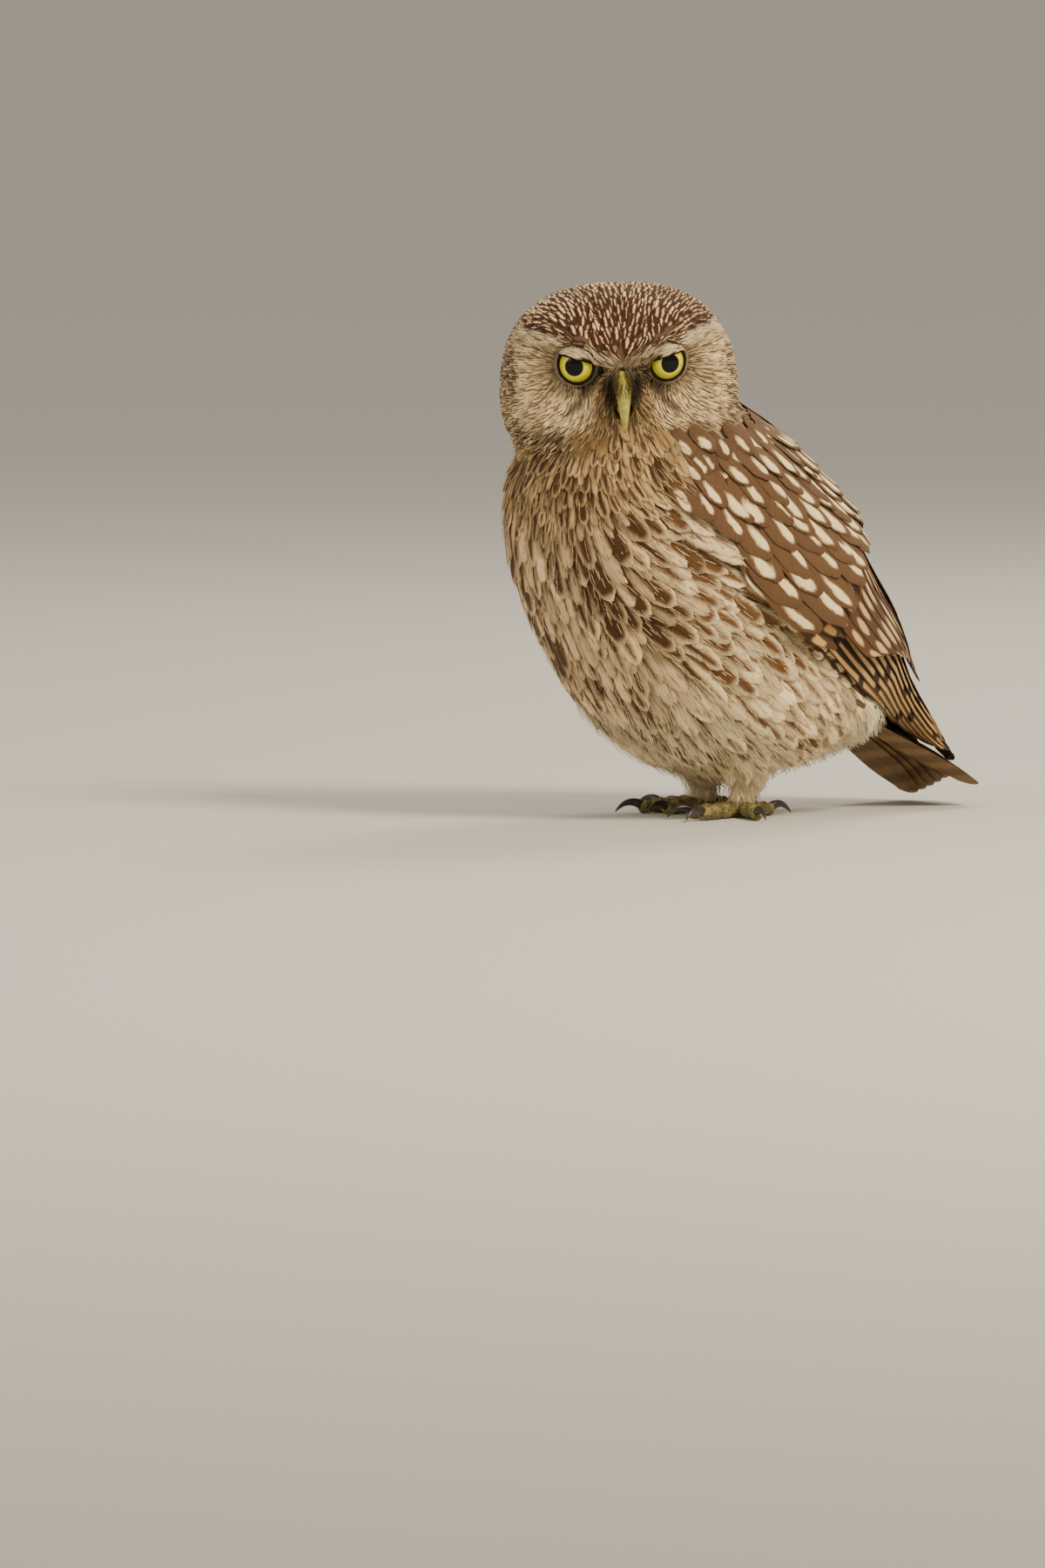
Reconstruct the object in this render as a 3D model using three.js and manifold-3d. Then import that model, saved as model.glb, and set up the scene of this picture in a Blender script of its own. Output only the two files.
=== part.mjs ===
// A little owl at life size, standing with its head turned to its left and its wings folded.
// Millimetres, +Z up. The bird faces -Y, its left side is +X, and its feet stand on z = 0.
import * as THREE from "three";
import { mergeVertices } from "three/addons/utils/BufferGeometryUtils.js";
import Module from "manifold-3d";

const wasm = await Module();
wasm.setup();

// Driving sizes
const GAP = 0.35; // left between neighbouring pieces
const VANE = 0.55; // thickness of a feather vane
const WING_DEPTH = 6; // how far the folded wing stands off the body
const HEAD_TURN = 57.5; // degrees to the bird's left
const HEAD_PITCH = 9; // degrees forward
const HEAD_ROLL = -2;
const HEAD_CENTRE = new THREE.Vector3(0, -39.5, 138);
const HEAD_HALF_WIDTH = 38.4;
const HEAD_ABOVE = 32.5;
const HEAD_BELOW = 29;
const HEAD_SQUARE = 2.55; // exponent of the head's rounded form: 2 would be an ellipsoid
const HEAD_TAPER = 0.0012; // share of the width lost for each millimetre upwards
const FACE_DEPTH = 27;
const NAPE_DEPTH = 35;
const EYE_RADIUS = 8.2;
const EYE_OPENING = 5.7; // radius of the round gap between the lids
const EYE_SPACING = 25;
const EYE_HEIGHT = 11.6; // above the head's centre
const EYE_SET_BACK = 19.5; // of the eyeball's centre, forward of the head's centre
const EYE_SPLAY = 18; // degrees that each eye looks outwards
const STANCE = 26; // between the two ankles
const TOE_RADIUS = 2.5;
const CLAW_LENGTH = 9;

const degrees = THREE.MathUtils.degToRad;
const smooth = THREE.MathUtils.smoothstep;
const point = (x, y, z) => new THREE.Vector3(x, y, z);

// A smooth function through evenly spaced values, read at a station from 0 to the last index.
function through(values) {
  const curve = new THREE.SplineCurve(values.map((v, i) => new THREE.Vector2(i, v)));
  return (station) => curve.getPoint(THREE.MathUtils.clamp(station / (values.length - 1), 0, 1)).y;
}

// Solids
function solidOf(positions, triangles) {
  const geometry = new THREE.BufferGeometry();
  geometry.setAttribute("position", new THREE.Float32BufferAttribute(positions, 3));
  geometry.setIndex(triangles);
  const merged = mergeVertices(geometry, 1e-4);
  const make = (triVerts) => new wasm.Manifold(
    new wasm.Mesh({ numProp: 3, vertProperties: merged.attributes.position.array, triVerts }),
  );
  const solid = make(new Uint32Array(merged.index.array));
  if (solid.volume() > 0) return solid;
  const turned = new Uint32Array(merged.index.array);
  for (let i = 0; i < turned.length; i += 3) {
    [turned[i], turned[i + 1]] = [turned[i + 1], turned[i]];
  }
  return make(turned);
}

// A closed skin over rings of equal length, with a pole at each end.
function loft(rings, firstPole, lastPole) {
  const count = rings[0].length;
  const positions = [...rings.flat(), firstPole, lastPole].flatMap((p) => p.toArray());
  const [first, last] = [rings.length * count, rings.length * count + 1];
  const triangles = [];
  for (let j = 0; j < count; j++) {
    const k = (j + 1) % count;
    triangles.push(first, j, k);
    triangles.push(last, (rings.length - 1) * count + k, (rings.length - 1) * count + j);
    for (let i = 0; i + 1 < rings.length; i++) {
      const [a, b] = [i * count + j, i * count + k];
      triangles.push(a, a + count, b, b, a + count, b + count);
    }
  }
  return solidOf(positions, triangles);
}

// A closed plate: its upper and lower faces come from place(i, j, side) and are split alike.
function plate(rows, columns, place) {
  const grids = [1, -1].map((side) => {
    const grid = [];
    for (let i = 0; i <= rows; i++) {
      for (let j = 0; j <= columns; j++) {
        grid.push(place(i / rows, j / columns, side));
      }
    }
    return grid;
  });
  const wide = columns + 1;
  const under = grids[0].length;
  const positions = grids.flat().flatMap((p) => p.toArray());
  const triangles = [];
  const quad = (a, b, c, d) => triangles.push(a, b, c, a, c, d);
  for (let i = 0; i < rows; i++) {
    for (let j = 0; j < columns; j++) {
      const a = i * wide + j;
      const d = a + wide;
      quad(a, a + 1, d + 1, d);
      triangles.push(under + a, under + d + 1, under + a + 1, under + a, under + d, under + d + 1);
    }
  }
  const edge = [];
  for (let j = 0; j < columns; j++) edge.push(j);
  for (let i = 0; i < rows; i++) edge.push(i * wide + columns);
  for (let j = columns; j > 0; j--) edge.push(rows * wide + j);
  for (let i = rows; i > 0; i--) edge.push(i * wide);
  edge.forEach((a, n) => {
    const b = edge[(n + 1) % edge.length];
    quad(b, a, under + a, under + b);
  });
  return solidOf(positions, triangles);
}

const largest = (solid) => solid.decompose().reduce((a, b) => (b.volume() > a.volume() ? b : a));
const SLIVER = 0.03; // the finest detail kept after joining and cutting
const joined = (pieces) => largest(wasm.Manifold.union(pieces));
const without = (solid, ...cutters) =>
  largest(cutters.reduce((left, c) => left.subtract(c), solid).simplify(SLIVER));

// A limb: rings round a curve, with round ends. Radii are across and upwards.
function limb(curve, rows, sides, across, upwards = across, grow = 0) {
  const rings = [];
  const frame = (t) => {
    const along = curve.getTangent(t).normalize();
    const side = point(0, 0, 1).cross(along);
    if (side.length() < 0.05) side.set(1, 0, 0);
    side.normalize();
    return { along, side, up: along.clone().cross(side) };
  };
  for (let i = 0; i <= rows; i++) {
    const t = i / rows;
    const { side, up } = frame(t);
    const centre = curve.getPoint(t);
    rings.push(Array.from({ length: sides }, (_, j) => {
      const angle = (2 * Math.PI * (j + 0.5)) / sides;
      return centre.clone()
        .addScaledVector(side, Math.cos(angle) * (across(t) + grow))
        .addScaledVector(up, Math.sin(angle) * (upwards(t) + grow));
    }));
  }
  const cap = (t, way) => curve.getPoint(t)
    .addScaledVector(frame(t).along, way * (0.6 * Math.min(across(t), upwards(t)) + grow));
  return loft(rings, cap(0, -1), cap(1, 1));
}

// The outline of the whole plumage: stations along the body from the neck to the tail's tip
const axisY = through([-36, -30, -14, 10, 42, 62, 80, 95]);
const axisZ = through([150, 118, 84, 55, 39, 30, 20, 10]);
const halfWidth = through([25, 42, 46, 47, 34, 21, 15, 11]);
const bellyDepth = through([26, 49, 56, 51, 24, 8, 5, 4]);
const backDepth = through([22, 40, 50, 51, 35, 19, 9, 5]);
const STATIONS = 7;
const FULLNESS = 2.3; // of the breast and belly: 2 would be an ellipse
const BEND = 0.4; // in stations: the length over which the body's direction is taken
const STEP = 0.05; // in stations and radians, for slopes of the plumage

function plumage(station, angle, grow = 0) {
  const way = point(
    0,
    axisY(station + BEND) - axisY(station - BEND),
    axisZ(station + BEND) - axisZ(station - BEND),
  ).normalize();
  const back = point(0, -way.z, way.y);
  const behind = Math.cos(angle) > 0;
  const depth = behind ? backDepth(station) : bellyDepth(station);
  const full = (v) => (behind ? v : Math.sign(v) * Math.abs(v) ** (2 / FULLNESS));
  return point(0, axisY(station), axisZ(station))
    .addScaledVector(back, full(Math.cos(angle)) * (depth + grow))
    .add(point(full(Math.sin(angle)) * (halfWidth(station) + grow), 0, 0));
}

// The outward direction of the plumage's surface
function outward(station, angle) {
  const s = THREE.MathUtils.clamp(station, STEP, STATIONS - STEP);
  const along = plumage(s + STEP, angle).sub(plumage(s - STEP, angle));
  const round = plumage(s, angle + STEP).sub(plumage(s, angle - STEP));
  return round.cross(along).normalize();
}

const onPlumage = (station, angle, lift) =>
  plumage(station, angle).addScaledVector(outward(station, angle), lift);
// Millimetres round the plumage for each radian
const reach = (station, angle) =>
  plumage(station, angle + STEP).distanceTo(plumage(station, angle - STEP)) / (2 * STEP);

// The folded wing lies between the back and this edge angle, from the wrist to its tip.
const wingEdge = (station) => degrees(92 + 20 * (1 - smooth(station, 1.2, 2.3)));
function wingArea(station, angle) {
  const a = Math.abs(angle);
  const edge = wingEdge(station) + 0.2 * smooth(station, 2, 3.5);
  return smooth(a, degrees(1), degrees(11)) * (1 - smooth(a, edge - 0.16, edge + 0.05)) *
    smooth(station, 0.85, 1.6);
}

// The trunk of the bird between two stations, round at its own ends and flat where it is parted
const TRUNK = { top: 0.42, bottom: 5.0, parting: 0.95, sides: 28 };
function trunk(from, to, rows, grow = 0) {
  const round = (station) => Math.sqrt(
    1 - Math.max(0, (1.15 - station) / 0.76) ** 2 - Math.max(0, (station - 4.0) / 1.08) ** 2,
  );
  const rings = Array.from({ length: rows + 1 }, (_, i) => {
    const station = THREE.MathUtils.lerp(from, to, i / rows);
    return Array.from({ length: TRUNK.sides }, (_, j) => {
      let angle = (2 * Math.PI * j) / TRUNK.sides;
      if (angle > Math.PI) angle -= 2 * Math.PI;
      return onPlumage(station, angle, -WING_DEPTH * wingArea(station, angle))
        .lerp(point(0, axisY(station), axisZ(station)), 1 - round(station))
        .addScaledVector(outward(station, angle), grow);
    });
  });
  const pole = (station, out) => point(0, axisY(station), axisZ(station)).add(out);
  return loft(
    rings,
    pole(from, point(0, 0, from === TRUNK.top ? 2 + grow : 0)),
    pole(to, point(0, to === TRUNK.bottom ? 2 + grow : 0, 0)),
  );
}
const PART = 0.006; // half of the gap at the parting, in stations
const neckBlank = (grow) => trunk(TRUNK.top, TRUNK.parting - PART, 4, grow);
const torsoBlank = (grow) => trunk(TRUNK.parting + PART, TRUNK.bottom, 14, grow);

// Head
const headTurn = new THREE.Matrix4()
  .makeTranslation(HEAD_CENTRE)
  .multiply(new THREE.Matrix4().makeRotationZ(degrees(HEAD_TURN)))
  .multiply(new THREE.Matrix4().makeRotationX(degrees(HEAD_PITCH)))
  .multiply(new THREE.Matrix4().makeRotationY(degrees(HEAD_ROLL)));
const onHead = (x, y, z) => point(x, y, z).applyMatrix4(headTurn);
const eyeCentre = (side) => point((side * EYE_SPACING) / 2, -EYE_SET_BACK, EYE_HEIGHT);
const eyeWay = (side) => point(side * Math.sin(degrees(EYE_SPLAY)), -Math.cos(degrees(EYE_SPLAY)), 0);

function headSurface(way, grow) {
  const radii = [
    HEAD_HALF_WIDTH,
    way.y < 0 ? FACE_DEPTH : NAPE_DEPTH,
    way.z > 0 ? HEAD_ABOVE : HEAD_BELOW,
  ].map((r) => r + grow);
  const sum = way.toArray().reduce((s, v, i) => s + (Math.abs(v) / radii[i]) ** HEAD_SQUARE, 0);
  const p = way.clone().multiplyScalar(sum ** (-1 / HEAD_SQUARE));
  p.x *= 1 - HEAD_TAPER * p.z;
  if (way.y >= 0) return p;
  const x = Math.abs(p.x);
  const near = (cx, cz, size) => Math.exp(-(((x - cx) ** 2 + (p.z - cz) ** 2) / size ** 2));
  const facing = smooth(-way.y, 0.05, 0.45);
  const eyeX = EYE_SPACING / 2;
  // Hollows of the facial disc, the brow that overhangs the eye, the bristly mound round the bill
  // and the low rim round the disc
  const hollow = -3.4 * near(eyeX + 2, EYE_HEIGHT - 5, 10.5);
  const browLine = EYE_HEIGHT + 6.2 + 0.32 * (x - eyeX);
  const browEnds = smooth(x, 1, 7) * (1 - smooth(x, 25, 33));
  const brow = 3.2 * Math.exp(-(((p.z - browLine) / 4) ** 2)) * browEnds;
  const mound = 4.2 * near(0, -4.5, 9.5);
  const fromEye = Math.hypot(x - eyeX, p.z - EYE_HEIGHT + 7);
  const rim = 1.6 * Math.exp(-(((fromEye - 21) / 3.7) ** 2)) * (1 - smooth(p.z, 2, 12));
  p.y -= facing * (hollow + brow + mound + rim);
  return p;
}

function headBlank(grow = 0) {
  const [rows, sides] = [18, 30];
  const rings = [];
  for (let i = 0; i < rows; i++) {
    const polar = (Math.PI * (i + 0.5)) / rows;
    rings.push(Array.from({ length: sides }, (_, j) => {
      const round = (2 * Math.PI * j) / sides;
      const way = point(
        Math.sin(polar) * Math.sin(round),
        -Math.cos(polar),
        Math.sin(polar) * Math.cos(round),
      );
      return headSurface(way, grow).applyMatrix4(headTurn);
    }));
  }
  const pole = (y) => headSurface(point(0, y, 0), grow).applyMatrix4(headTurn);
  return loft(rings, pole(-1), pole(1));
}

function ball(centre, radius, sides) {
  const sphere = new THREE.SphereGeometry(radius, sides, Math.round(sides * 0.6));
  sphere.rotateX(Math.PI / 2).deleteAttribute("normal").deleteAttribute("uv");
  sphere.translate(centre.x, centre.y, centre.z).applyMatrix4(headTurn);
  return solidOf(sphere.attributes.position.array, [...sphere.index.array]);
}

// The round cut between the lids: a short cone that widens outwards
function eyeGap(side) {
  const cone = new THREE.CylinderGeometry(EYE_OPENING + 1.6, EYE_OPENING - 0.4, 7, 16);
  cone.deleteAttribute("normal").deleteAttribute("uv");
  cone.rotateX(Math.PI / 2).scale(1, -1, 0.94);
  cone.rotateZ(side * degrees(EYE_SPLAY));
  const way = eyeWay(side);
  const at = eyeCentre(side).addScaledVector(way, EYE_RADIUS + 1.6);
  cone.translate(at.x, at.y, at.z).applyMatrix4(headTurn);
  return solidOf(cone.attributes.position.array, [...cone.index.array]);
}

// The lids: a low rounded ring that stands round the eye, heavier above
function lidRing(side) {
  const way = eyeWay(side);
  const right = point(0, 0, 1).cross(way).normalize();
  const up = way.clone().cross(right);
  const [sections, sides] = [14, 4];
  const positions = [];
  for (let i = 0; i < sections; i++) {
    const round = (2 * Math.PI * i) / sections;
    const heavy = 0.35 * Math.max(0, Math.sin(round));
    const radial = right.clone().multiplyScalar(Math.cos(round)).addScaledVector(up, Math.sin(round));
    for (let j = 0; j < sides; j++) {
      const a = (2 * Math.PI * j) / sides;
      const out = EYE_OPENING + 0.9 + (1.3 + heavy) * Math.cos(a);
      positions.push(eyeCentre(side).addScaledVector(way, 5.6 + (1.5 + heavy) * Math.sin(a))
        .addScaledVector(radial, out).applyMatrix4(headTurn));
    }
  }
  const triangles = [];
  for (let i = 0; i < sections; i++) {
    const [here, next] = [i * sides, ((i + 1) % sections) * sides];
    for (let j = 0; j < sides; j++) {
      const k = (j + 1) % sides;
      triangles.push(here + j, next + j, here + k, here + k, next + j, next + k);
    }
  }
  return solidOf(positions.flatMap((p) => p.toArray()), triangles);
}

// Bill: a hooked upper half with two nostrils, and a short lower half
const BILL_ROOT = [0, -24, 5.5];
const BILL_BEND = [0, -36, 4.5];
const BILL_TIP = [0, -35.2, -8.4];
const NOSTRIL = { x: 2.7, y: -31.2, z: 5.4, radius: 0.95 };
const billCurve = () => new THREE.QuadraticBezierCurve3(
  onHead(...BILL_ROOT), onHead(...BILL_BEND), onHead(...BILL_TIP),
);
const billSide = () => point(1, 0, 0).transformDirection(headTurn);

function hook(curve, rows, sides, half, grow) {
  const across = billSide();
  const rings = [];
  for (let i = 0; i <= rows; i++) {
    const t = i / rows;
    const up = curve.getTangent(t).normalize().cross(across).normalize();
    const size = half(t) + grow;
    rings.push(Array.from({ length: sides }, (_, j) => {
      const a = (2 * Math.PI * (j + 0.5)) / sides;
      return curve.getPoint(t).addScaledVector(across, 0.82 * size * Math.cos(a))
        .addScaledVector(up, size * Math.sin(a));
    }));
  }
  const end = (t, way) => curve.getPoint(t).addScaledVector(curve.getTangent(t).normalize(), way);
  return loft(rings, end(0, -0.5 - grow), end(1, 0.5 + grow));
}

const upperBill = (grow = 0) => hook(billCurve(), 7, 8, (t) => 4.1 * (1 - t) ** 0.72 + 0.45, grow);
function lowerBill(grow = 0) {
  const curve = new THREE.QuadraticBezierCurve3(
    onHead(0, -25, -1.6), onHead(0, -30.3, -2), onHead(0, -31.2, -6.4),
  );
  return hook(curve, 4, 8, (t) => 2.7 * (1 - t) ** 0.7 + 0.4, grow);
}
const nostril = (side) => ball(point(side * NOSTRIL.x, NOSTRIL.y, NOSTRIL.z), NOSTRIL.radius, 8);

// A feather vane, laid on the plumage from a root to a tip, each given as station and degrees.
// Its level above the plumage runs from one lift to the other, and tilt raises one edge.
function vane({ root, tip, width, lifts, tilt = 0, rows = 4, columns = 2, blunt = 0.4 }) {
  const taper = (t) => Math.sqrt(1 - (1 - blunt ** 2) * smooth(t, 0.72, 1) ** 1.5);
  const shape = (t) => (0.6 + 0.4 * smooth(t, 0, 0.35)) * taper(t);
  return plate(rows, columns, (t, u, side) => {
    const station = THREE.MathUtils.lerp(root[0], tip[0], t);
    const angle = degrees(THREE.MathUtils.lerp(root[1], tip[1], t));
    const off = (u - 0.5) * width * shape(t);
    const level = THREE.MathUtils.lerp(...lifts, t) + tilt * off;
    return onPlumage(station, angle + off / reach(station, angle), level + (side * VANE) / 2);
  });
}

// The arm's upper face is thick in front and thin behind; its levels run evenly from wrist to end.
const ARM = { from: 1.0, to: 4.2, inner: 5, rim: -7.4, under: -9.5 };
const armLevels = through([-3, 1.2, 1.3, 0.5, -1.3, -3.4, -5.4]);
const armLevel = (station) => armLevels((6 * (station - ARM.from)) / (ARM.to - ARM.from));

function arm(side) {
  const even = (v) => 0.5 - 0.5 * Math.cos(Math.PI * v);
  const flat = (v) => 1 - Math.abs(2 * v - 1) ** 8;
  return plate(5, 7, (t, u, face) => {
    const station = THREE.MathUtils.lerp(ARM.from, ARM.to, even(t));
    const edge = THREE.MathUtils.radToDeg(wingEdge(station)) - 1;
    const angle = side * degrees(THREE.MathUtils.lerp(edge, ARM.inner, even(u)));
    const full = flat(even(t)) * flat(even(u));
    const upper = THREE.MathUtils.lerp(ARM.rim, armLevel(station), full);
    return onPlumage(station, angle, face > 0 ? upper : ARM.under);
  });
}

// One tier of vanes. Root and tip give station and degrees for a place from 0 to 1 across the tier.
function tier(side, count, { root, tip, rise, sunk = 0.5, step = 0, tilt, ...form }) {
  return Array.from({ length: count }, (_, i) => {
    const across = count > 1 ? i / (count - 1) : 0;
    const [start, end] = [root(across), tip(across)];
    const level = armLevel(start[0]) - sunk + step * i;
    return vane({
      root: [start[0], side * start[1]], tip: [end[0], side * end[1]],
      lifts: [level, level + rise], tilt: side * tilt, ...form,
    });
  });
}
const between = (a, b) => (across) => [0, 1].map((k) => THREE.MathUtils.lerp(a[k], b[k], across));

function wing(side) {
  // Each tier runs from the outermost feather, at the lower edge, to the innermost against the back.
  // The third primary or so is the longest, and their tips lie along the lower edge.
  const primaryTip = (across) => [
    6.2 - (across < 0.45 ? 4.6 : 1.6) * (across - 0.45) ** 2,
    84 - 54 * across ** 1.6,
  ];
  const primaries = tier(side, 7, {
    root: between([3.0, 85], [2.9, 50]), tip: primaryTip,
    width: 12, rise: 0, sunk: 4.1, step: 0.52, tilt: 0.1,
  });
  const secondaries = tier(side, 6, {
    root: between([2.75, 82], [2.75, 35]), tip: between([4.2, 84], [5.1, 33]),
    width: 13, rise: 0.4, sunk: 0.9, step: 0.12, tilt: 0.125,
  });
  const tertials = tier(side, 3, {
    root: between([2.7, 27], [2.6, 13]), tip: between([5.1, 25], [4.4, 10]),
    width: 12, rise: 0.8, sunk: 0.7, step: 0.5, tilt: 0.11,
  });
  const primaryCoverts = tier(side, 3, {
    root: between([1.95, 94], [2.0, 82]), tip: between([3.15, 86], [3.2, 75]),
    width: 9, rise: -0.6, sunk: 2.4, step: 0.6, tilt: 0.1, rows: 2, columns: 1,
  });
  const alula = tier(side, 1, {
    root: () => [1.55, 102], tip: () => [2.42, 93],
    width: 8, rise: 0.4, sunk: 1.2, tilt: 0, rows: 3, columns: 1,
  });
  // A covert lies over each secondary, at the same angle.
  const small = { rows: 2, columns: 1, blunt: 0.55, tilt: 0.125 };
  const greaterCoverts = tier(side, 7, {
    root: between([2.4, 82], [2.4, 26]), tip: between([3.3, 84], [3.5, 24]),
    width: 12, rise: 1.5, ...small,
  });
  const medianCoverts = tier(side, 7, {
    root: between([1.85, 91], [1.85, 35]), tip: between([2.65, 84], [2.75, 34]),
    width: 12.5, rise: 1.5, ...small,
  });
  const lesserCoverts = tier(side, 6, {
    root: between([1.3, 103], [1.3, 54]), tip: between([2.05, 92], [2.1, 53]),
    width: 13, rise: 1.9, ...small,
  });
  const scapulars = tier(side, 4, {
    root: between([2.3, 12], [1.2, 34]), tip: between([3.3, 9], [2.0, 32]),
    width: 13, rise: 2.1, ...small,
  });
  const vanes = [
    ...primaries, ...secondaries, ...tertials, ...primaryCoverts, ...alula,
    ...greaterCoverts, ...medianCoverts, ...lesserCoverts, ...scapulars,
  ];
  return without(joined([arm(side), ...vanes]), torsoBlank(GAP), neckBlank(GAP), headBlank(GAP));
}

// Tail: six pairs of feathers, the middle pair on top, each a little lower than the one inside it
const TAIL_ROOT = point(0, 34, 41);
const TAIL_TIP = point(0, 94.5, 9.5);
const TAIL_PAIRS = 6;
const TAIL_STEP = 0.9; // from one feather's level to the next
const TAIL_TWIST = 0.16; // the whole tail is turned a little to one side towards its tip
function tail() {
  const way = TAIL_TIP.clone().sub(TAIL_ROOT);
  const length = way.length();
  way.normalize();
  const up = point(0, -way.z, way.y);
  const feather = (pair, side) => {
    const level = -TAIL_STEP * (pair + (side < 0 && pair === 0 ? 1 : 0));
    const spread = 1.2 + 1.75 * pair;
    return plate(5, 2, (t, u, face) => {
      const half = 6.8 * (0.55 + 0.45 * t) * Math.sqrt(1 - 0.8 * smooth(t, 0.78, 1) ** 2);
      const x = Math.max(spread * (0.5 + t) + (2 * u - 1) * half, pair ? 0.2 : -9);
      return TAIL_ROOT.clone().setX(side * x)
        .addScaledVector(way, length * t * (1 - 0.004 * pair ** 2))
        .addScaledVector(up, level - 0.06 * x + TAIL_TWIST * side * x * t + (face * VANE) / 2);
    });
  };
  const feathers = [1, -1].flatMap((side) =>
    Array.from({ length: TAIL_PAIRS }, (_, pair) => feather(pair, side)));
  // The fleshy root and its coverts, from which the feathers grow
  const base = TAIL_ROOT.clone().addScaledVector(up, -2.6);
  const rootCurve = new THREE.LineCurve3(base, base.clone().addScaledVector(way, 0.5 * length));
  const stump = limb(rootCurve, 4, 14, (t) => 13 - 2 * t, (t) => 6 - 3.4 * t);
  return without(joined([stump, ...feathers]), torsoBlank(GAP));
}

// Legs
const ankle = (side) => point((side * STANCE) / 2, side > 0 ? -1 : 3, 4.2);
const FOOT_TURN = { 1: 8, "-1": 4 }; // degrees outwards, for the left and the right foot
// Each toe's angle in degrees from straight ahead, outwards, and its length
const TOES = { inner: [-16, 17.5], middle: [11, 21], outer: [64, 16.5], hind: [170, 11.5] };

function thigh(side, grow = 0) {
  const curve = new THREE.QuadraticBezierCurve3(
    point(side * 18, -3, 36), point(side * 16, 1, 22), ankle(side).add(point(0, 1.5, 6)),
  );
  return limb(curve, 6, 14, (t) => 13.5 - 7.6 * t ** 1.3, (t) => 15.5 - 9.4 * t ** 1.3, grow);
}
function shank(side, grow = 0) {
  const from = (y, z) => ankle(side).add(point(0, y, z));
  const curve = new THREE.QuadraticBezierCurve3(from(2.5, 14), from(1, 5), from(-0.6, -0.2));
  return limb(curve, 6, 12, (t) => 4.9 - 0.5 * Math.sin(Math.PI * t), (t) => 4.6 - 0.4 * t, grow);
}
function toeWay(side, name) {
  const angle = degrees(TOES[name][0] + FOOT_TURN[side]);
  return point(side * Math.sin(angle), -Math.cos(angle), 0);
}
function toe(side, name, grow = 0) {
  const way = toeWay(side, name);
  const at = (r, z) => ankle(side).addScaledVector(way, r).setZ(z);
  const length = TOES[name][1];
  const curve = new THREE.CatmullRomCurve3([
    at(2.6, 2.45), at(length * 0.45, 2.6), at(length * 0.75, 2.3), at(length, 1.95),
  ]);
  const knuckles = (t) => TOE_RADIUS * (1 - 0.16 * t) * (1 + 0.09 * Math.cos(6 * Math.PI * t));
  return limb(curve, 6, 8, knuckles, knuckles, grow);
}
function claw(side, name) {
  const way = toeWay(side, name);
  const end = TOES[name][1];
  const at = (r, z) => ankle(side).addScaledVector(way, r).setZ(z);
  const long = name === "hind" ? CLAW_LENGTH * 0.85 : CLAW_LENGTH;
  const curve = new THREE.QuadraticBezierCurve3(
    at(end - 0.4, 2.5), at(end + long * 0.55, 5.6), at(end + long, 0.75),
  );
  return limb(curve, 5, 6, (t) => 1.25 * (1 - t) ** 0.75 + 0.3, (t) => 1.5 * (1 - t) ** 0.75 + 0.3);
}

// Everything below the floor is cut away, which leaves the small flats that the feet stand on.
const floor = new THREE.BoxGeometry(200, 200, 20).translate(0, 0, -10);
floor.deleteAttribute("normal").deleteAttribute("uv");
const ground = solidOf(floor.attributes.position.array, [...floor.index.array]);

const COLOURS = {
  feathers: [0x6b4f3a, 0.9], pale: [0xcbb99d, 0.9], flight: [0x5a4231, 0.75],
  horn: [0xa9a04a, 0.45], claws: [0x2b2622, 0.35], skin: [0x8d8348, 0.7], eyes: [0xd6cf1e, 0.1],
};
const owl = new THREE.Group();
function show(name, solid, look) {
  const { numProp, vertProperties, triVerts } = solid.getMesh();
  if (numProp !== 3) throw new Error(name + " carries more than positions");
  const geometry = new THREE.BufferGeometry();
  geometry.setAttribute("position", new THREE.BufferAttribute(vertProperties, 3));
  geometry.setIndex(new THREE.BufferAttribute(triVerts, 1));
  const [color, roughness] = COLOURS[look];
  const mesh = new THREE.Mesh(geometry, new THREE.MeshStandardMaterial({ color, roughness, metalness: 0 }));
  mesh.name = name;
  owl.add(mesh);
}

const SIDES = { left: 1, right: -1 };
const EYE_SIDES = 14; // of the eyeballs and their sockets
const socket = (side) => [ball(eyeCentre(side), EYE_RADIUS + GAP, EYE_SIDES), eyeGap(side)];
const head = without(
  joined([headBlank(), lidRing(1), lidRing(-1)]),
  ...socket(1), ...socket(-1), upperBill(GAP), lowerBill(GAP),
);
const neck = without(neckBlank(), headBlank(GAP), upperBill(GAP), lowerBill(GAP));
const torso = without(torsoBlank(), headBlank(GAP), thigh(1, GAP), thigh(-1, GAP));
show("head", head, "feathers");
show("neck", neck, "feathers");
show("torso", torso, "pale");
show("bill_upper", without(upperBill(), nostril(1), nostril(-1)), "horn");
show("bill_lower", without(lowerBill(), upperBill(GAP)), "horn");
show("tail", tail(), "flight");

for (const [name, side] of Object.entries(SIDES)) {
  show("eye_" + name, ball(eyeCentre(side), EYE_RADIUS, EYE_SIDES), "eyes");
  show("wing_" + name, wing(side), "flight");
  show("thigh_" + name, thigh(side), "pale");
  show("shank_" + name, without(shank(side), thigh(side, GAP), ground), "pale");
  const earlier = [];
  for (const digit of Object.keys(TOES)) {
    const clear = toe(side, digit, GAP);
    show(`toe_${name}_${digit}`, without(toe(side, digit), shank(side, GAP), ...earlier, ground), "skin");
    show(`claw_${name}_${digit}`, without(claw(side, digit), clear, ground), "claws");
    earlier.push(clear);
  }
}

// The origin is on the floor, under the middle of the bird.
const box = new THREE.Box3().setFromObject(owl);
const middle = box.getCenter(new THREE.Vector3());
owl.position.set(-middle.x, -middle.y, -box.min.z);

export default owl;
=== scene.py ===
import math

import bmesh
import bpy
import numpy as np
from mathutils import Matrix, Vector
from mathutils.bvhtree import BVHTree
from mathutils.kdtree import KDTree


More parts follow.
